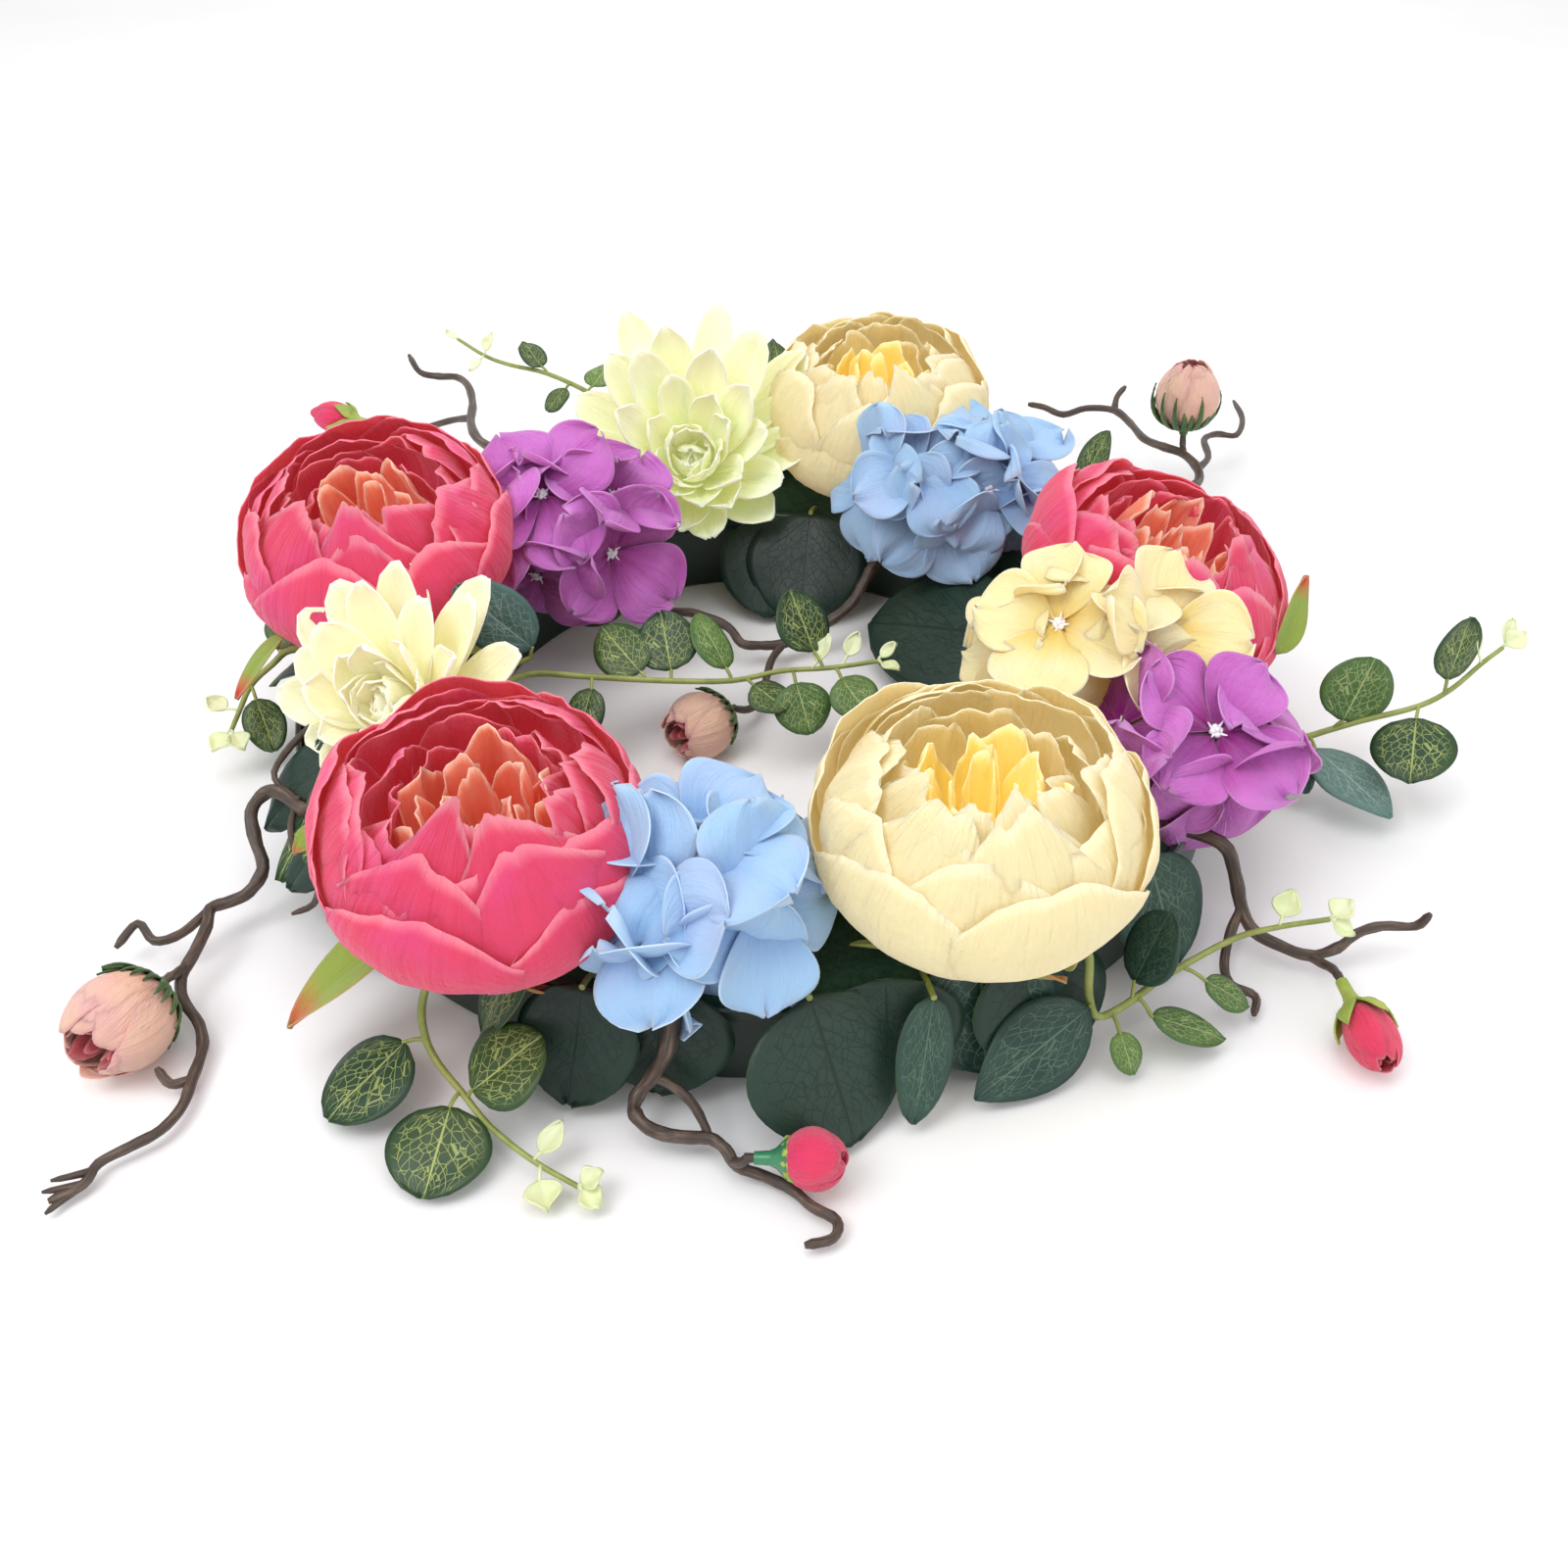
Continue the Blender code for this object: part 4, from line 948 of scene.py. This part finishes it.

# %% [markdown]
# ## Twigs
# Each twig is a wire covered in moulded bark. Its route is chosen so that it bends as the real
# one does, and the rods get a knotty, uneven radius.

# %% Twig routes
TWIGS = {
    "twig_left": (
        200,
        False,
        [(11, -26, 34), (0, -17, 33), (-6, -15, 31), (-10, -19, 27), (-8, -26, 22), (-5, -33, 17),
         (-8, -40, 14), (-13, -43, 13), (-18, -46, 13), (-17, -53, 13), (-18, -62, 12), (-20, -70, 10),
         (-18, -77, 8), (-12, -84, 6), (-9, -92, 5), (-9, -102, 4.5), (-9, -111, 4.5), (-12, -119, 5),
         (-18, -124, 5), (-25, -129, 4.5), (-27, -135, 4), (-34, -140, 4)],
        [[(-18, -46, 13), (-24, -55, 12), (-31, -58, 12), (-38, -51, 12), (-43, -58, 9)],
         [(-9, -102, 4.5), (-14, -104, 5), (-18, -101, 8)]],
        [(-19, -66, 11), (-20.5, -71, 12.5), (-21.5, -74, 14)],
    ),
    "twig_back_left": (
        127,
        False,
        [(-12, 16, 33), (-26, 33, 31), (-33, 52, 29), (-36, 74, 27), (-41, 93, 26), (-48, 104, 25),
         (-57, 107, 24), (-65, 107, 26), (-71, 116, 30)],
        [],
        [(-34, 58, 28.5), (-44, 69, 22), (-53, 70, 19), (-62, 66, 18), (-70, 66, 19), (-78, 69, 20)],
    ),
    "twig_back_right": (
        35,
        False,
        [(14, 8, 33), (28, 20, 30), (40, 36, 26), (51, 48, 22), (54, 60, 22), (50, 71, 23), (43, 77, 23),
         (37, 88, 21), (34, 104, 20), (29, 116, 20), (17, 118, 20), (6, 112, 20), (-2, 117, 21),
         (-9, 118, 22)],
        [[(54, 60, 22), (61, 72, 21), (63, 89, 20), (70, 96, 19), (79, 97, 18), (85, 112, 18), (85, 129, 18)],
         [(29, 116, 20), (31, 123, 23), (35, 127, 26)]],
        [(50, 71, 23), (50, 74, 25), (50, 76, 28)],
    ),
    "twig_front": (
        262,
        False,
        [(1, -5, 34), (-1, -10, 25), (-5, -12, 17), (-9, -14, 12), (-10, -18, 10), (-7, -22, 9),
         (-2, -24, 8), (4, -25, 8), (10, -25, 7.5), (14, -28, 7), (17, -32, 5.5), (24, -34, 4),
         (31, -38, 4), (36, -43, 4), (42, -47, 4), (41, -52, 4), (34, -54, 4)],
        [[(-5, -12, 17), (1, -14, 14), (6, -18, 11), (10, -25, 7.5)]],
        [(16, -31, 6), (18, -33.5, 9), (20, -34.5, 12.5)],
    ),
    "twig_right": (
        326,
        False,
        [(8, -6, 33), (13, -9, 24), (16, -13, 14), (19, -19, 10), (26, -23, 8), (34, -26, 7),
         (42, -25, 9), (48, -22, 12), (55, -21, 14), (64, -22, 15), (67, -22, 20)],
        [[(16, -13, 14), (12, -20, 9), (9, -29, 6), (10, -35, 4.5), (16, -39, 4), (14, -46, 4)]],
        [(34, -26, 7), (36.5, -30, 8), (38, -34, 10), (38.5, -38, 11)],
    ),
    "twig_inner": (
        57,
        True,
        [(-5, -13, 33), (-11, -18, 30), (-15, -22, 25), (-20, -28, 19), (-29, -33, 14), (-38, -36, 11),
         (-45, -39, 9), (-53, -40, 9), (-60, -40, 10), (-65, -34, 13), (-76, -30, 16), (-87, -29, 17),
         (-98, -24, 19), (-107, -30, 15), (-113, -30, 12), (-119, -27, 10)],
        [],
        [(-45, -39, 9), (-49, -47, 7.5), (-51, -58, 6.5), (-53, -70, 6.5), (-57, -78, 9), (-62, -80, 11)],
    ),
}

# Frayed ends that split off a twig, in the same form as a branch.
SPLITS = {
    "twig_left": [
        [(-27, -135, 4), (-32, -137, 5), (-36, -138, 5)],
        [(-27, -135, 4), (-32, -140, 3), (-34, -143, 3)],
        [(-26, -131, 4), (-30, -134, 6), (-34, -136, 7)],
    ],
}

# %% Twigs
# The twig whose peg a bud sits on, the direction it points in, radius, length, kind, the extra
# degrees that its petals close and the sepals' length as a share of the radius.
BUDS = {
    "bud_left": ("twig_left", (-0.40, -0.91, 0.07), 14.0, 31, "peach", 0, 1.0),
    "bud_back_left": ("twig_back_left", (-0.95, 0.3, 0.0), 7.5, 29, "red", 0, 1.5),
    "bud_back_right": ("twig_back_right", (-0.05, 0.12, 1.0), 13.5, 30, "peach", 22, 1.6),
    "bud_front": ("twig_front", (1.0, -0.05, 0.06), 8.8, 23, "red", 0, 0.6),
    "bud_right": ("twig_right", (0.15, -1.0, -0.04), 8.0, 30, "red", 0, 1.5),
    "bud_inner": ("twig_inner", (-0.72, -0.68, 0.06), 11.5, 25, "peach", 0, 1.0),
}


def knotty_rod(work, route, start_radius, end_radius, seed, parts=4):
    """A smooth rod whose radius swells at the knots and tapers to a blunt tip."""
    points = smooth_route(route, parts)
    radii = []
    for index in range(len(points)):
        share = index / (len(points) - 1)
        radius = start_radius + (end_radius - start_radius) * share
        knots = 0.20 * wobble(index * 0.45, seed, 2) + 0.10 * wobble(index * 1.3, seed, 6)
        radii.append(radius * (1 + knots))
    radii[-1] *= 0.6
    work.rod(points, radii, 10)


for number, (name, (angle, inner, main, branches, bud_branch)) in enumerate(TWIGS.items()):
    work = Work(f"{name}_bark", BARK)
    foot = wire_foot(angle, inner)
    knotty_rod(work, [foot, *rim_route(angle, inner, main)], 2.2 * MM, 1.3 * MM, number)
    for branch in branches:
        knotty_rod(work, rim_route(angle, inner, branch), 1.5 * MM, 1.2 * MM, number + 9)
    tip = rim_route(angle, inner, bud_branch)
    knotty_rod(work, tip, 1.5 * MM, 1.3 * MM, number + 17)
    heading = next(Vector(way).normalized() for twig, way, *_ in BUDS.values() if twig == name)
    peg = [tip[-1] + heading * step * MM for step in (-1, 3, 4.5)]
    work.rod(peg, [1.3 * MM, 1.2 * MM, 1.1 * MM])
    for split in SPLITS.get(name, []):
        knotty_rod(work, rim_route(angle, inner, split), 1.2 * MM, 0.7 * MM, number + 25, 2)
    work.done(name, "twig_bark", [name], smooth=70)

# Short dead ends of twig that are pushed into the foam, in mm from the middle of the ring.
STUBS = [
    [(-112, -100, 38), (-121, -107, 34), (-127, -105, 22), (-134, -105, 18)],
    [(-138, -46, 40), (-143, -53, 38), (-146, -63, 36), (-143, -68, 33)],
    [(-136, -74, 36), (-138, -80, 30), (-136, -88, 27)],
]
stubs = Work("twig_stubs", BARK)
for number, stub in enumerate(STUBS):
    knotty_rod(stubs, [Vector(point) * MM for point in stub], 1.2 * MM, 0.9 * MM, number + 40, 3)
stubs.done("crown", "twig_bark", (), smooth=70)

# %% [markdown]
# ## Buds
# The round buds are small peonies that stay closed round a dark opening, with a spiky calyx. The
# narrow ones are rosebuds: three petals wrap each other to a point inside long light sepals.

# %% Buds
PEG_LENGTH = 1.5 * MM
# Rounds: count, share of the radius, share of the bloom's height, span, closing angle, ruffle, flare.
PEACH_ROUNDS = [
    (4, 1.0, 0.94, 130, 142, 0.25, 0.0),
    (4, 0.93, 1.0, 120, 146, 0.3, 0.0),
    (4, 0.84, 1.0, 110, 136, 0.3, 0.0),
]
THROAT_ROUNDS = [
    (5, 0.52, 0.96, 95, 112, 0.3, 0.03),
    (4, 0.34, 0.9, 110, 100, 0.25, 0.05),
]
ROSE_ROUNDS = [
    (3, 1.0, 0.97, 165, 158, 0.18, 0.0),
    (3, 0.86, 1.02, 160, 160, 0.15, 0.0),
    (2, 0.5, 1.0, 200, 150, 0.1, 0.0),
]


def bud(name, twig_name, heading, radius, length, kind, closing, reach, seed):
    angle, inner, _, _, bud_branch = TWIGS[twig_name]
    shoulder = rim_route(angle, inner, bud_branch)[-1]
    axis = Vector(heading).normalized()
    radius, length = radius * MM, length * MM
    neck = length - 2 * radius if kind == "peach" else length * 0.30
    seat = along(shoulder + axis * PEG_LENGTH, axis)
    bloom = seat @ Matrix.Translation((0, 0, neck))
    cloth = PEACH if kind == "peach" else ROSE
    petals = Work(f"{name}_petals", cloth)
    if kind == "peach":
        rounds = [(*row[:4], row[4] + closing, *row[5:]) for row in PEACH_ROUNDS]
        petal_rounds(petals, bloom, radius, radius * 2, rounds, seed, 14, 14)
        throat = Work(f"{name}_throat", PEACH_DARK)
        petal_rounds(throat, bloom, radius, radius * 2, THROAT_ROUNDS, seed + 3, 10, 8)
        throat.done(twig_name, f"bud_{kind}", (), 0.35 * MM)
    else:
        petal_rounds(petals, bloom, radius * 0.92, length - neck, ROSE_ROUNDS, seed, 12, 12)
    petals.done(twig_name, f"bud_{kind}", [name], 0.35 * MM)
    green = CALYX if kind == "peach" else LIGHT_CALYX
    calyx = Work(f"{name}_calyx", green, FERRULE if name == "bud_front" else green)
    base = 0.5 if kind == "peach" else 0.62
    heights = [0, neck * 0.55, neck * 0.8, neck + radius * 0.16]
    radii = [1.7 * MM, 1.9 * MM, radius * 0.3, radius * base]
    calyx.rod([seat @ Vector((0, 0, height)) for height in heights], radii, 14, 1)
    calyx.done(twig_name, f"bud_{kind}", (), smooth=70)
    sepals = Work(f"{name}_sepals", green)
    count = 22 if kind == "peach" else 5
    draw = random.Random(seed)
    for number in range(count):
        turned = bloom @ spun(360 / count * number + draw.uniform(-4, 4))
        if kind == "peach":
            size, wide, rise, curl = radius * reach * draw.uniform(0.8, 1.1), 2.6 * MM, 10, 66 * reach
        else:
            size, wide, rise, curl = radius * reach * draw.uniform(0.85, 1.1), radius * 0.85, 22, 66
        shape = blade(turned, size, wide, rise, curl, 0.15, 0.1, 0.3, number, 0.6, 0.9, start=radius * 0.32)
        sepals.sheet(shape, 4 if kind == "peach" else 6, 8, draw.random())
    sepals.done(twig_name, f"bud_{kind}", (), 0.5 * MM)


for number, (name, (twig_name, heading, *values)) in enumerate(BUDS.items()):
    bud(name, twig_name, heading, *values, number * 7 + 1)

# %% [markdown]
# ## Leaf blades
# A leaf is one thick sheet with its upper side and its underside in different finishes. It is
# drawn from its foot to its tip, rolled about its midrib, and hung on a short stalk.

# %% Leaf blade


def leaf(work, foot, tip, width, roll, seed, outline, curl=-14.0, cup=-0.10, finish=0, fold=0.06):
    """A leaf from foot to tip. roll turns it about its midrib, and outline is its full and blunt."""
    run = tip - foot
    across = run.cross(Vector((0, 0, 1))).normalized()
    across = Matrix.Rotation(math.radians(roll), 3, run.normalized()) @ across
    face = across.cross(run).normalized()
    seat = Matrix((run.normalized(), -across, face)).transposed().to_4x4()
    seat.translation = foot
    shape = blade(seat, run.length, width, -curl / 2, curl, cup, fold, 0.9, seed, *outline)
    work.sheet(shape, 14, 14, (seed * 0.37) % 1.0, finish)


def stalked(work, stalk, foot, radius, finish):
    middle = stalk.lerp(foot, 0.5) + Vector((0, 0, 0.6 * MM))
    points = smooth_route([stalk, middle, foot + (foot - middle) * 0.15], 3)
    work.rod(points, [radius] * len(points), 7, finish)


# %% [markdown]
# ## Sprays
# A spray is a thin olive stem with pairs of round veined leaves, and soft pale young tips at the
# end. The stem, the leaves and the tips are three pieces that bend together.

# %% Spray values
# Foot angle, inner rim or not, stem route, then leaves and young tips as (stalk foot, blade foot,
# blade tip, width, roll).
SPRAYS = {
    "spray_front_left": (
        236,
        False,
        [(2, -4, 34), (-1, -13, 31), (-4, -18, 22), (-3, -23, 15), (1, -29, 12), (8, -37, 11),
         (17, -47, 9), (29, -56, 7), (41, -63, 6)],
        [((-3, -23, 15), (-9, -23, 14), (-27, -42, 5), 27, 8),
         ((8, -37, 11), (6, -42, 11), (2, -65, 3.5), 28, 0),
         ((10, -39, 10.5), (12, -40, 15), (30, -30, 25), 27, 0)],
        [((29, -56, 7), (31, -55, 9), (36, -47, 12), 7, 0),
         ((31, -57, 7), (31, -61, 6), (34, -69, 4.5), 10, 0),
         ((41, -63, 6), (42, -63, 6.5), (47, -60, 9), 7, 0),
         ((41, -63, 6), (42, -64, 6), (47, -68, 5), 7, 0)],
    ),
    "spray_right": (
        346,
        False,
        [(4, 0, 34), (12, 4, 31), (22, 10, 22), (31, 13, 18), (39, 14, 20), (49, 14, 24), (66, 14, 30),
         (77, 18, 34), (88, 26, 38), (96, 31, 41)],
        [((40, 14, 20), (43, 14, 24), (50, 20, 45), 25, 50),
         ((66, 14, 30), (64, 9, 29), (57, -14, 21), 26, 12),
         ((74, 16, 33), (75, 19, 37), (80, 27, 56), 21, 60),
         ((33, 13, 18), (34, 8, 17), (53, -18, 10), 22, 0),
         ((24, 11, 21), (25, 8, 19), (30, -5, 9), 12, 0)],
        [((88, 26, 38), (87, 28, 41), (85, 34, 50), 9, 40),
         ((96, 31, 41), (97, 31, 42), (103, 33, 46), 8, 20),
         ((96, 31, 41), (97, 32, 42), (100, 38, 48), 8, 50)],
    ),
    "spray_inner": (
        198,
        True,
        [(2, 4, 35), (9, 12, 36), (18, 18, 35), (34, 19, 33), (60, 18, 32), (82, 18, 32), (98, 22, 33),
         (114, 21, 35), (130, 22, 37)],
        [((54, 18, 32), (52, 20, 34), (38, 36, 41), 19, -25),
         ((62, 18, 32), (62, 21, 34), (58, 38, 46), 21, -10),
         ((82, 18, 32), (80, 22, 34), (70, 36, 46), 16, 20),
         ((86, 19, 32), (89, 17, 31), (100, 10, 26), 16, 0),
         ((112, 21, 35), (109, 26, 38), (101, 40, 53), 22, 15),
         ((116, 21, 35), (118, 18, 33), (127, 7, 25), 17, 10),
         ((102, 22, 33), (103, 18, 31), (108, 6, 19), 20, 0),
         ((36, 19, 33), (36, 15, 31), (32, 1, 20), 13, 0)],
        [((118, 21, 35), (120, 25, 37), (124, 32, 42), 6, 20),
         ((130, 22, 37), (131, 23, 38), (136, 27, 41), 5, 0),
         ((130, 22, 37), (131, 21, 37), (137, 18, 37), 5, 0),
         ((108, 21, 34), (110, 23, 36), (114, 31, 42), 6, -20)],
    ),
    "spray_back_left": (
        112,
        False,
        [(-3, 12, 33), (-9, 30, 33), (-17, 50, 33), (-39, 71, 33), (-57, 80, 33), (-69, 87, 34),
         (-83, 100, 36)],
        [((-39, 71, 33), (-42, 74, 35), (-51, 84, 42), 12, 0),
         ((-28, 61, 33), (-30, 59, 32), (-38, 50, 26), 11, 0),
         ((-20, 53, 33), (-18, 57, 34), (-11, 72, 38), 15, 0)],
        [((-69, 87, 34), (-69, 88, 36), (-66, 92, 43), 6, 0),
         ((-69, 87, 34), (-71, 86, 33), (-76, 81, 30), 6, 0),
         ((-83, 100, 36), (-84, 101, 36), (-89, 105, 38), 5, 0)],
    ),
    "spray_left": (
        178,
        False,
        [(-6, -1, 33), (-12, -5, 30), (-19, -10, 25), (-22, -18, 20), (-23, -26, 18)],
        [((-8, -2, 32), (-11, 1, 31), (-15, 30, 28), 14, 35),
         ((-19, -10, 25), (-17, -14, 22), (-10, -27, 10), 14, 0)],
        [((-22, -18, 20), (-26, -18, 21), (-33, -16, 24), 8, 0),
         ((-23, -26, 18), (-24, -27, 18), (-28, -33, 15), 9, 0),
         ((-23, -26, 18), (-22, -27, 18), (-17, -33, 16), 8, 0)],
    ),
    "spray_front_right": (
        304,
        False,
        [(4, -6, 33), (5, -13, 22), (8, -15, 15), (16, -11, 15), (26, -4, 17), (38, 3, 19), (50, 8, 22),
         (62, 11, 23), (76, 12, 25)],
        [((6, -14, 19), (5, -16, 20), (-27, -36, 6), 25, -50),
         ((18, -10, 15), (19, -6, 19), (28, 4, 36), 22, -30),
         ((20, -9, 16), (23, -14, 14), (44, -16, 6), 13, 0),
         ((12, -13, 15), (14, -18, 12), (17, -27, 5), 9, 0),
         ((34, 0, 18), (40, -2, 15), (52, -7, 10), 11, 0)],
        [((62, 11, 23), (63, 13, 25), (66, 18, 31), 8, 0),
         ((76, 12, 25), (77, 12, 26), (82, 15, 30), 8, 0),
         ((76, 12, 25), (77, 11, 25), (82, 7, 24), 7, 0)],
    ),
    "sprig_silver": (
        190,
        True,
        [(-2, -1, 35), (10, -1, 40), (21, 0, 45)],
        [((21, 0, 45), (22, 0, 49), (0, 2, 71), 22, -70)],
        [],
    ),
}
LEAF_FINISHES = {
    "spray_right": [1, 0, 0, 2, 3],
    "spray_inner": [0, 0, 1, 0, 0, 1, 1, 0],
    "spray_back_left": [0, 0, 1],
    "spray_left": [1, 0],
    "spray_front_right": [3, 3, 1, 1, 1],
    "sprig_silver": [2],
}

# %% Sprays
# The outlines of a narrow and of a round leaf, as full and blunt.
NARROW_LEAF = (0.8, 0.8)
ROUND_LEAF = (0.86, 0.50)
for number, (name, (angle, inner, stem_route, leaves, tips)) in enumerate(SPRAYS.items()):
    body = BODY_OF[name]
    stem = Work(f"{name}_stem_rod", STEM, YOUNG_TIP)
    foot = wire_foot(angle, inner)
    points = smooth_route([foot, *rim_route(angle, inner, stem_route)])
    thin = [(1.35 - 0.6 * index / len(points)) * MM for index in range(len(points))]
    stem.rod(points, thin, 8)
    blades = Work(f"{name}_leaves", SPRAY_LEAF, OLIVE_LEAF, SILVER_LEAF, VEINED_LEAF, UNDERSIDE)
    for index, (*ends, width, roll) in enumerate(leaves):
        stalk, blade_foot, tip = rim_route(angle, inner, ends)
        stalked(stem, stalk, blade_foot, 0.6 * MM, 0)
        finish = LEAF_FINISHES.get(name, [0] * 9)[index]
        long = (tip - blade_foot).length > 1.45 * width * MM
        outline = NARROW_LEAF if long else ROUND_LEAF
        leaf(blades, blade_foot, tip, width * MM, roll, number * 5 + index, outline, finish=finish)
    blades.done(body, "spray_green", [name], 0.45 * MM)
    if tips:
        young = Work(f"{name}_young_tips", YOUNG_TIP)
        for index, (*ends, width, roll) in enumerate(tips):
            stalk, blade_foot, tip = rim_route(angle, inner, ends)
            stalked(stem, stalk, blade_foot, 0.5 * MM, 1)
            leaf(young, blade_foot, tip, width * MM, roll, number * 3 + index, NARROW_LEAF, 40, 0.35)
        young.done(body, "spray_green", (), 0.6 * MM)
    stem.done(body, "spray_green", [name], smooth=70)

# %% [markdown]
# ## Large leaves
# Round eucalyptus leaves lie against the tray's wall, inside at the back and below the front blooms.

# %% Large leaves
# Foot angle, inner rim or not, stalk foot, blade foot, blade tip, width, roll, finish.
LEAVES = {
    "leaf_inner_right": (12, True, (6, -1, 33), (-9, -4, 31), (-55, 29, 13), 48, -36, 0),
    "leaf_inner_back": (78, True, (0, 5, 34), (-2, -5, 36), (-6, -32, 4.5), 46, 0, 0),
    "leaf_inner_back_side": (96, True, (8, 5, 33), (12, -5, 33), (12, -30, 4), 38, 0, 0),
    "leaf_front_center": (275, False, (0, 6, 33), (1, -2, 37), (13, -23, 3.5), 47, 0, 0),
    "leaf_front_left": (253, False, (2, 6, 33), (0, -2.5, 35), (-5, -17, 4), 35, 0, 0),
    "leaf_front_right": (299, False, (0, 7, 33), (0, -1, 35), (8, -15, 3), 44, 0, 0),
    "leaf_front_folded": (287, False, (0, 6, 33), (2, -5, 34), (-3, -24, 5), 16, -30, 1),
}
for number, (name, (angle, inner, *ends, width, roll, finish)) in enumerate(LEAVES.items()):
    work = Work(f"{name}_blade", (LARGE_LEAF, VEINED_LEAF)[finish], UNDERSIDE)
    stalk, blade_foot, tip = rim_route(angle, inner, ends)
    shape = {"outline": (0.86, 0.56), "curl": -10, "cup": -0.06, "fold": 0.02}
    leaf(work, blade_foot, tip, width * MM, roll, number + 2, finish=1, **shape)
    work.done(BODY_OF[name], "leaf_green", [name], 0.5 * MM, back=-1)
    rod = Work(f"{name}_stalk", STEM)
    stalked(rod, stalk - Vector((0, 0, 2 * MM)), blade_foot, 0.9 * MM, 0)
    rod.done(BODY_OF[name], "leaf_green", (), smooth=70)

# %% [markdown]
# ## Filler leaves and odd sepals
# A few more leaves and cloth sepals are glued to the foam to hide the tray and the stems. They
# have no node of their own, so they ride on the crown.

# %% Fillers
# Foot angle, inner rim or not, blade foot, blade tip, width, roll, finish.
FILLERS = {
    "filler_front_right": (293, False, (0, 2, 36), (3, -12, 5), 44, 0, 1),
    "filler_front_middle": (283, False, (0, 2, 36), (2, -11, 8), 42, 0, 0),
    "filler_front_left": (261, False, (0, 2, 35), (-2, -10, 6), 40, 0, 0),
    "filler_left": (246, False, (2, 3, 40), (-12, -8, 14), 20, 10, 2),
    "filler_left_low": (222, False, (4, 4, 34), (-6, -10, 8), 26, 0, 1),
    "filler_back": (86, False, (-4, -6, 56), (14, 6, 74), 16, 30, 2),
    "filler_back_right": (38, False, (0, 4, 42), (12, 22, 56), 12, 40, 2),
    "filler_right": (318, False, (-2, 2, 36), (8, -12, 6), 34, 0, 1),
    "filler_inner_left": (215, True, (-8, -2, 36), (14, 6, 48), 15, 20, 2),
    "filler_inner_left_low": (222, True, (-6, 0, 34), (16, 10, 40), 18, 0, 1),
    "filler_between_back": (88, False, (4, -6, 52), (-2, 14, 70), 15, 10, 2),
    "filler_inner_dark": (226, True, (-4, 6, 38), (8, 34, 30), 15, 20, 1),
    "filler_inner_dark_low": (231, True, (-2, 8, 34), (14, 30, 26), 16, 10, 1),
    "filler_dahlia": (186, True, (-6, 4, 40), (10, 14, 44), 16, 0, 3),
}
FILLER_FINISHES = (LARGE_LEAF, VEINED_LEAF, SPRAY_LEAF, SEPAL)
for number, (name, (angle, inner, *ends, width, roll, finish)) in enumerate(FILLERS.items()):
    work = Work(name, FILLER_FINISHES[finish], UNDERSIDE)
    blade_foot, tip = rim_route(angle, inner, ends)
    shape = {"outline": (0.86, 0.6), "curl": -12, "cup": -0.06, "fold": 0.03}
    leaf(work, blade_foot, tip, width * MM, roll, number + 30, finish=1, **shape)
    work.done("crown", "leaf_green", (), 0.5 * MM, back=-1)

# Leaves that lie over the rim where no bloom hides it, all round the back and inside the front. They
# leave gaps for the wires of the twigs and sprays. Inner side, first angle, last angle and step.
RIM_LEAVES = {"rim_leaf_back": (False, 14, 224, 7), "rim_leaf_inner": (True, 228, 322, 12)}
WIRE_ANGLES = [values[0] for values in (*TWIGS.values(), *SPRAYS.values())]
WIRE_GAP = 4
for name, (inner, first, last, step) in RIM_LEAVES.items():
    work = Work(name, LARGE_LEAF, UNDERSIDE)
    light = Work(f"{name}_veined", SPRAY_LEAF, UNDERSIDE)
    draw = random.Random(first)
    for number, angle in enumerate(range(first, last, step)):
        spot = angle + draw.uniform(-1.5, 1.5)
        lean, reach, drop = draw.uniform(-3, 3), draw.uniform(41, 49), draw.uniform(6, 13)
        if any(abs(spot - wire) < WIRE_GAP for wire in WIRE_ANGLES):
            continue
        foot = ring_point(spot, draw.uniform(-2, 4) * (-1 if inner else 1), draw.uniform(9, 12))
        tip = ring_point(spot + lean, -0.76 * reach if inner else reach, -0.5 * drop if inner else -drop)
        width = draw.uniform(24, 31) * MM
        shape = {"outline": (0.86, 0.55), "curl": -62, "cup": -0.14, "fold": 0.03}
        kind = light if number % 3 == 1 else work
        leaf(kind, foot, tip, width, draw.uniform(-10, 10), number + 70, finish=1, **shape)
    work.done("crown", "leaf_green", (), 0.5 * MM, back=-1)
    light.done("crown", "leaf_green", (), 0.5 * MM, back=-1)

# Sepals that stand out from under a bloom: places from the middle of the ring in mm, width and roll.
SEPALS = {
    "sepal_front_left": ((-92, -132, 40), (-124, -149, 19), 24, 15),
    "sepal_front_left_low": ((-80, -140, 31), (-50, -146, 27), 12, -30),
    "sepal_cream_left": ((25, -137, 39), (58, -140, 31), 12, -40),
    "sepal_cream_right": ((60, -143, 31), (82, -145, 34), 13, -50),
    "sepal_cream_red": ((80, -141, 36), (84, -140, 52), 12, 20),
    "sepal_right": ((160, -30, 56), (170, -13, 74), 12, 60),
    "sepal_back_left": ((-154, -8, 48), (-168, -25, 34), 12, 20),
    "sepal_front_low": ((-118, -104, 50), (-125, -113, 49), 10, 0),
}
for number, (name, (blade_foot, tip, width, roll)) in enumerate(SEPALS.items()):
    work = Work(name, RED_TIP)
    ends = (Vector(blade_foot) * MM, Vector(tip) * MM)
    leaf(work, *ends, width * MM, roll, number + 50, (0.7, 0.8), curl=-24, cup=0.2)
    work.done("crown", "stem", (), 0.4 * MM)
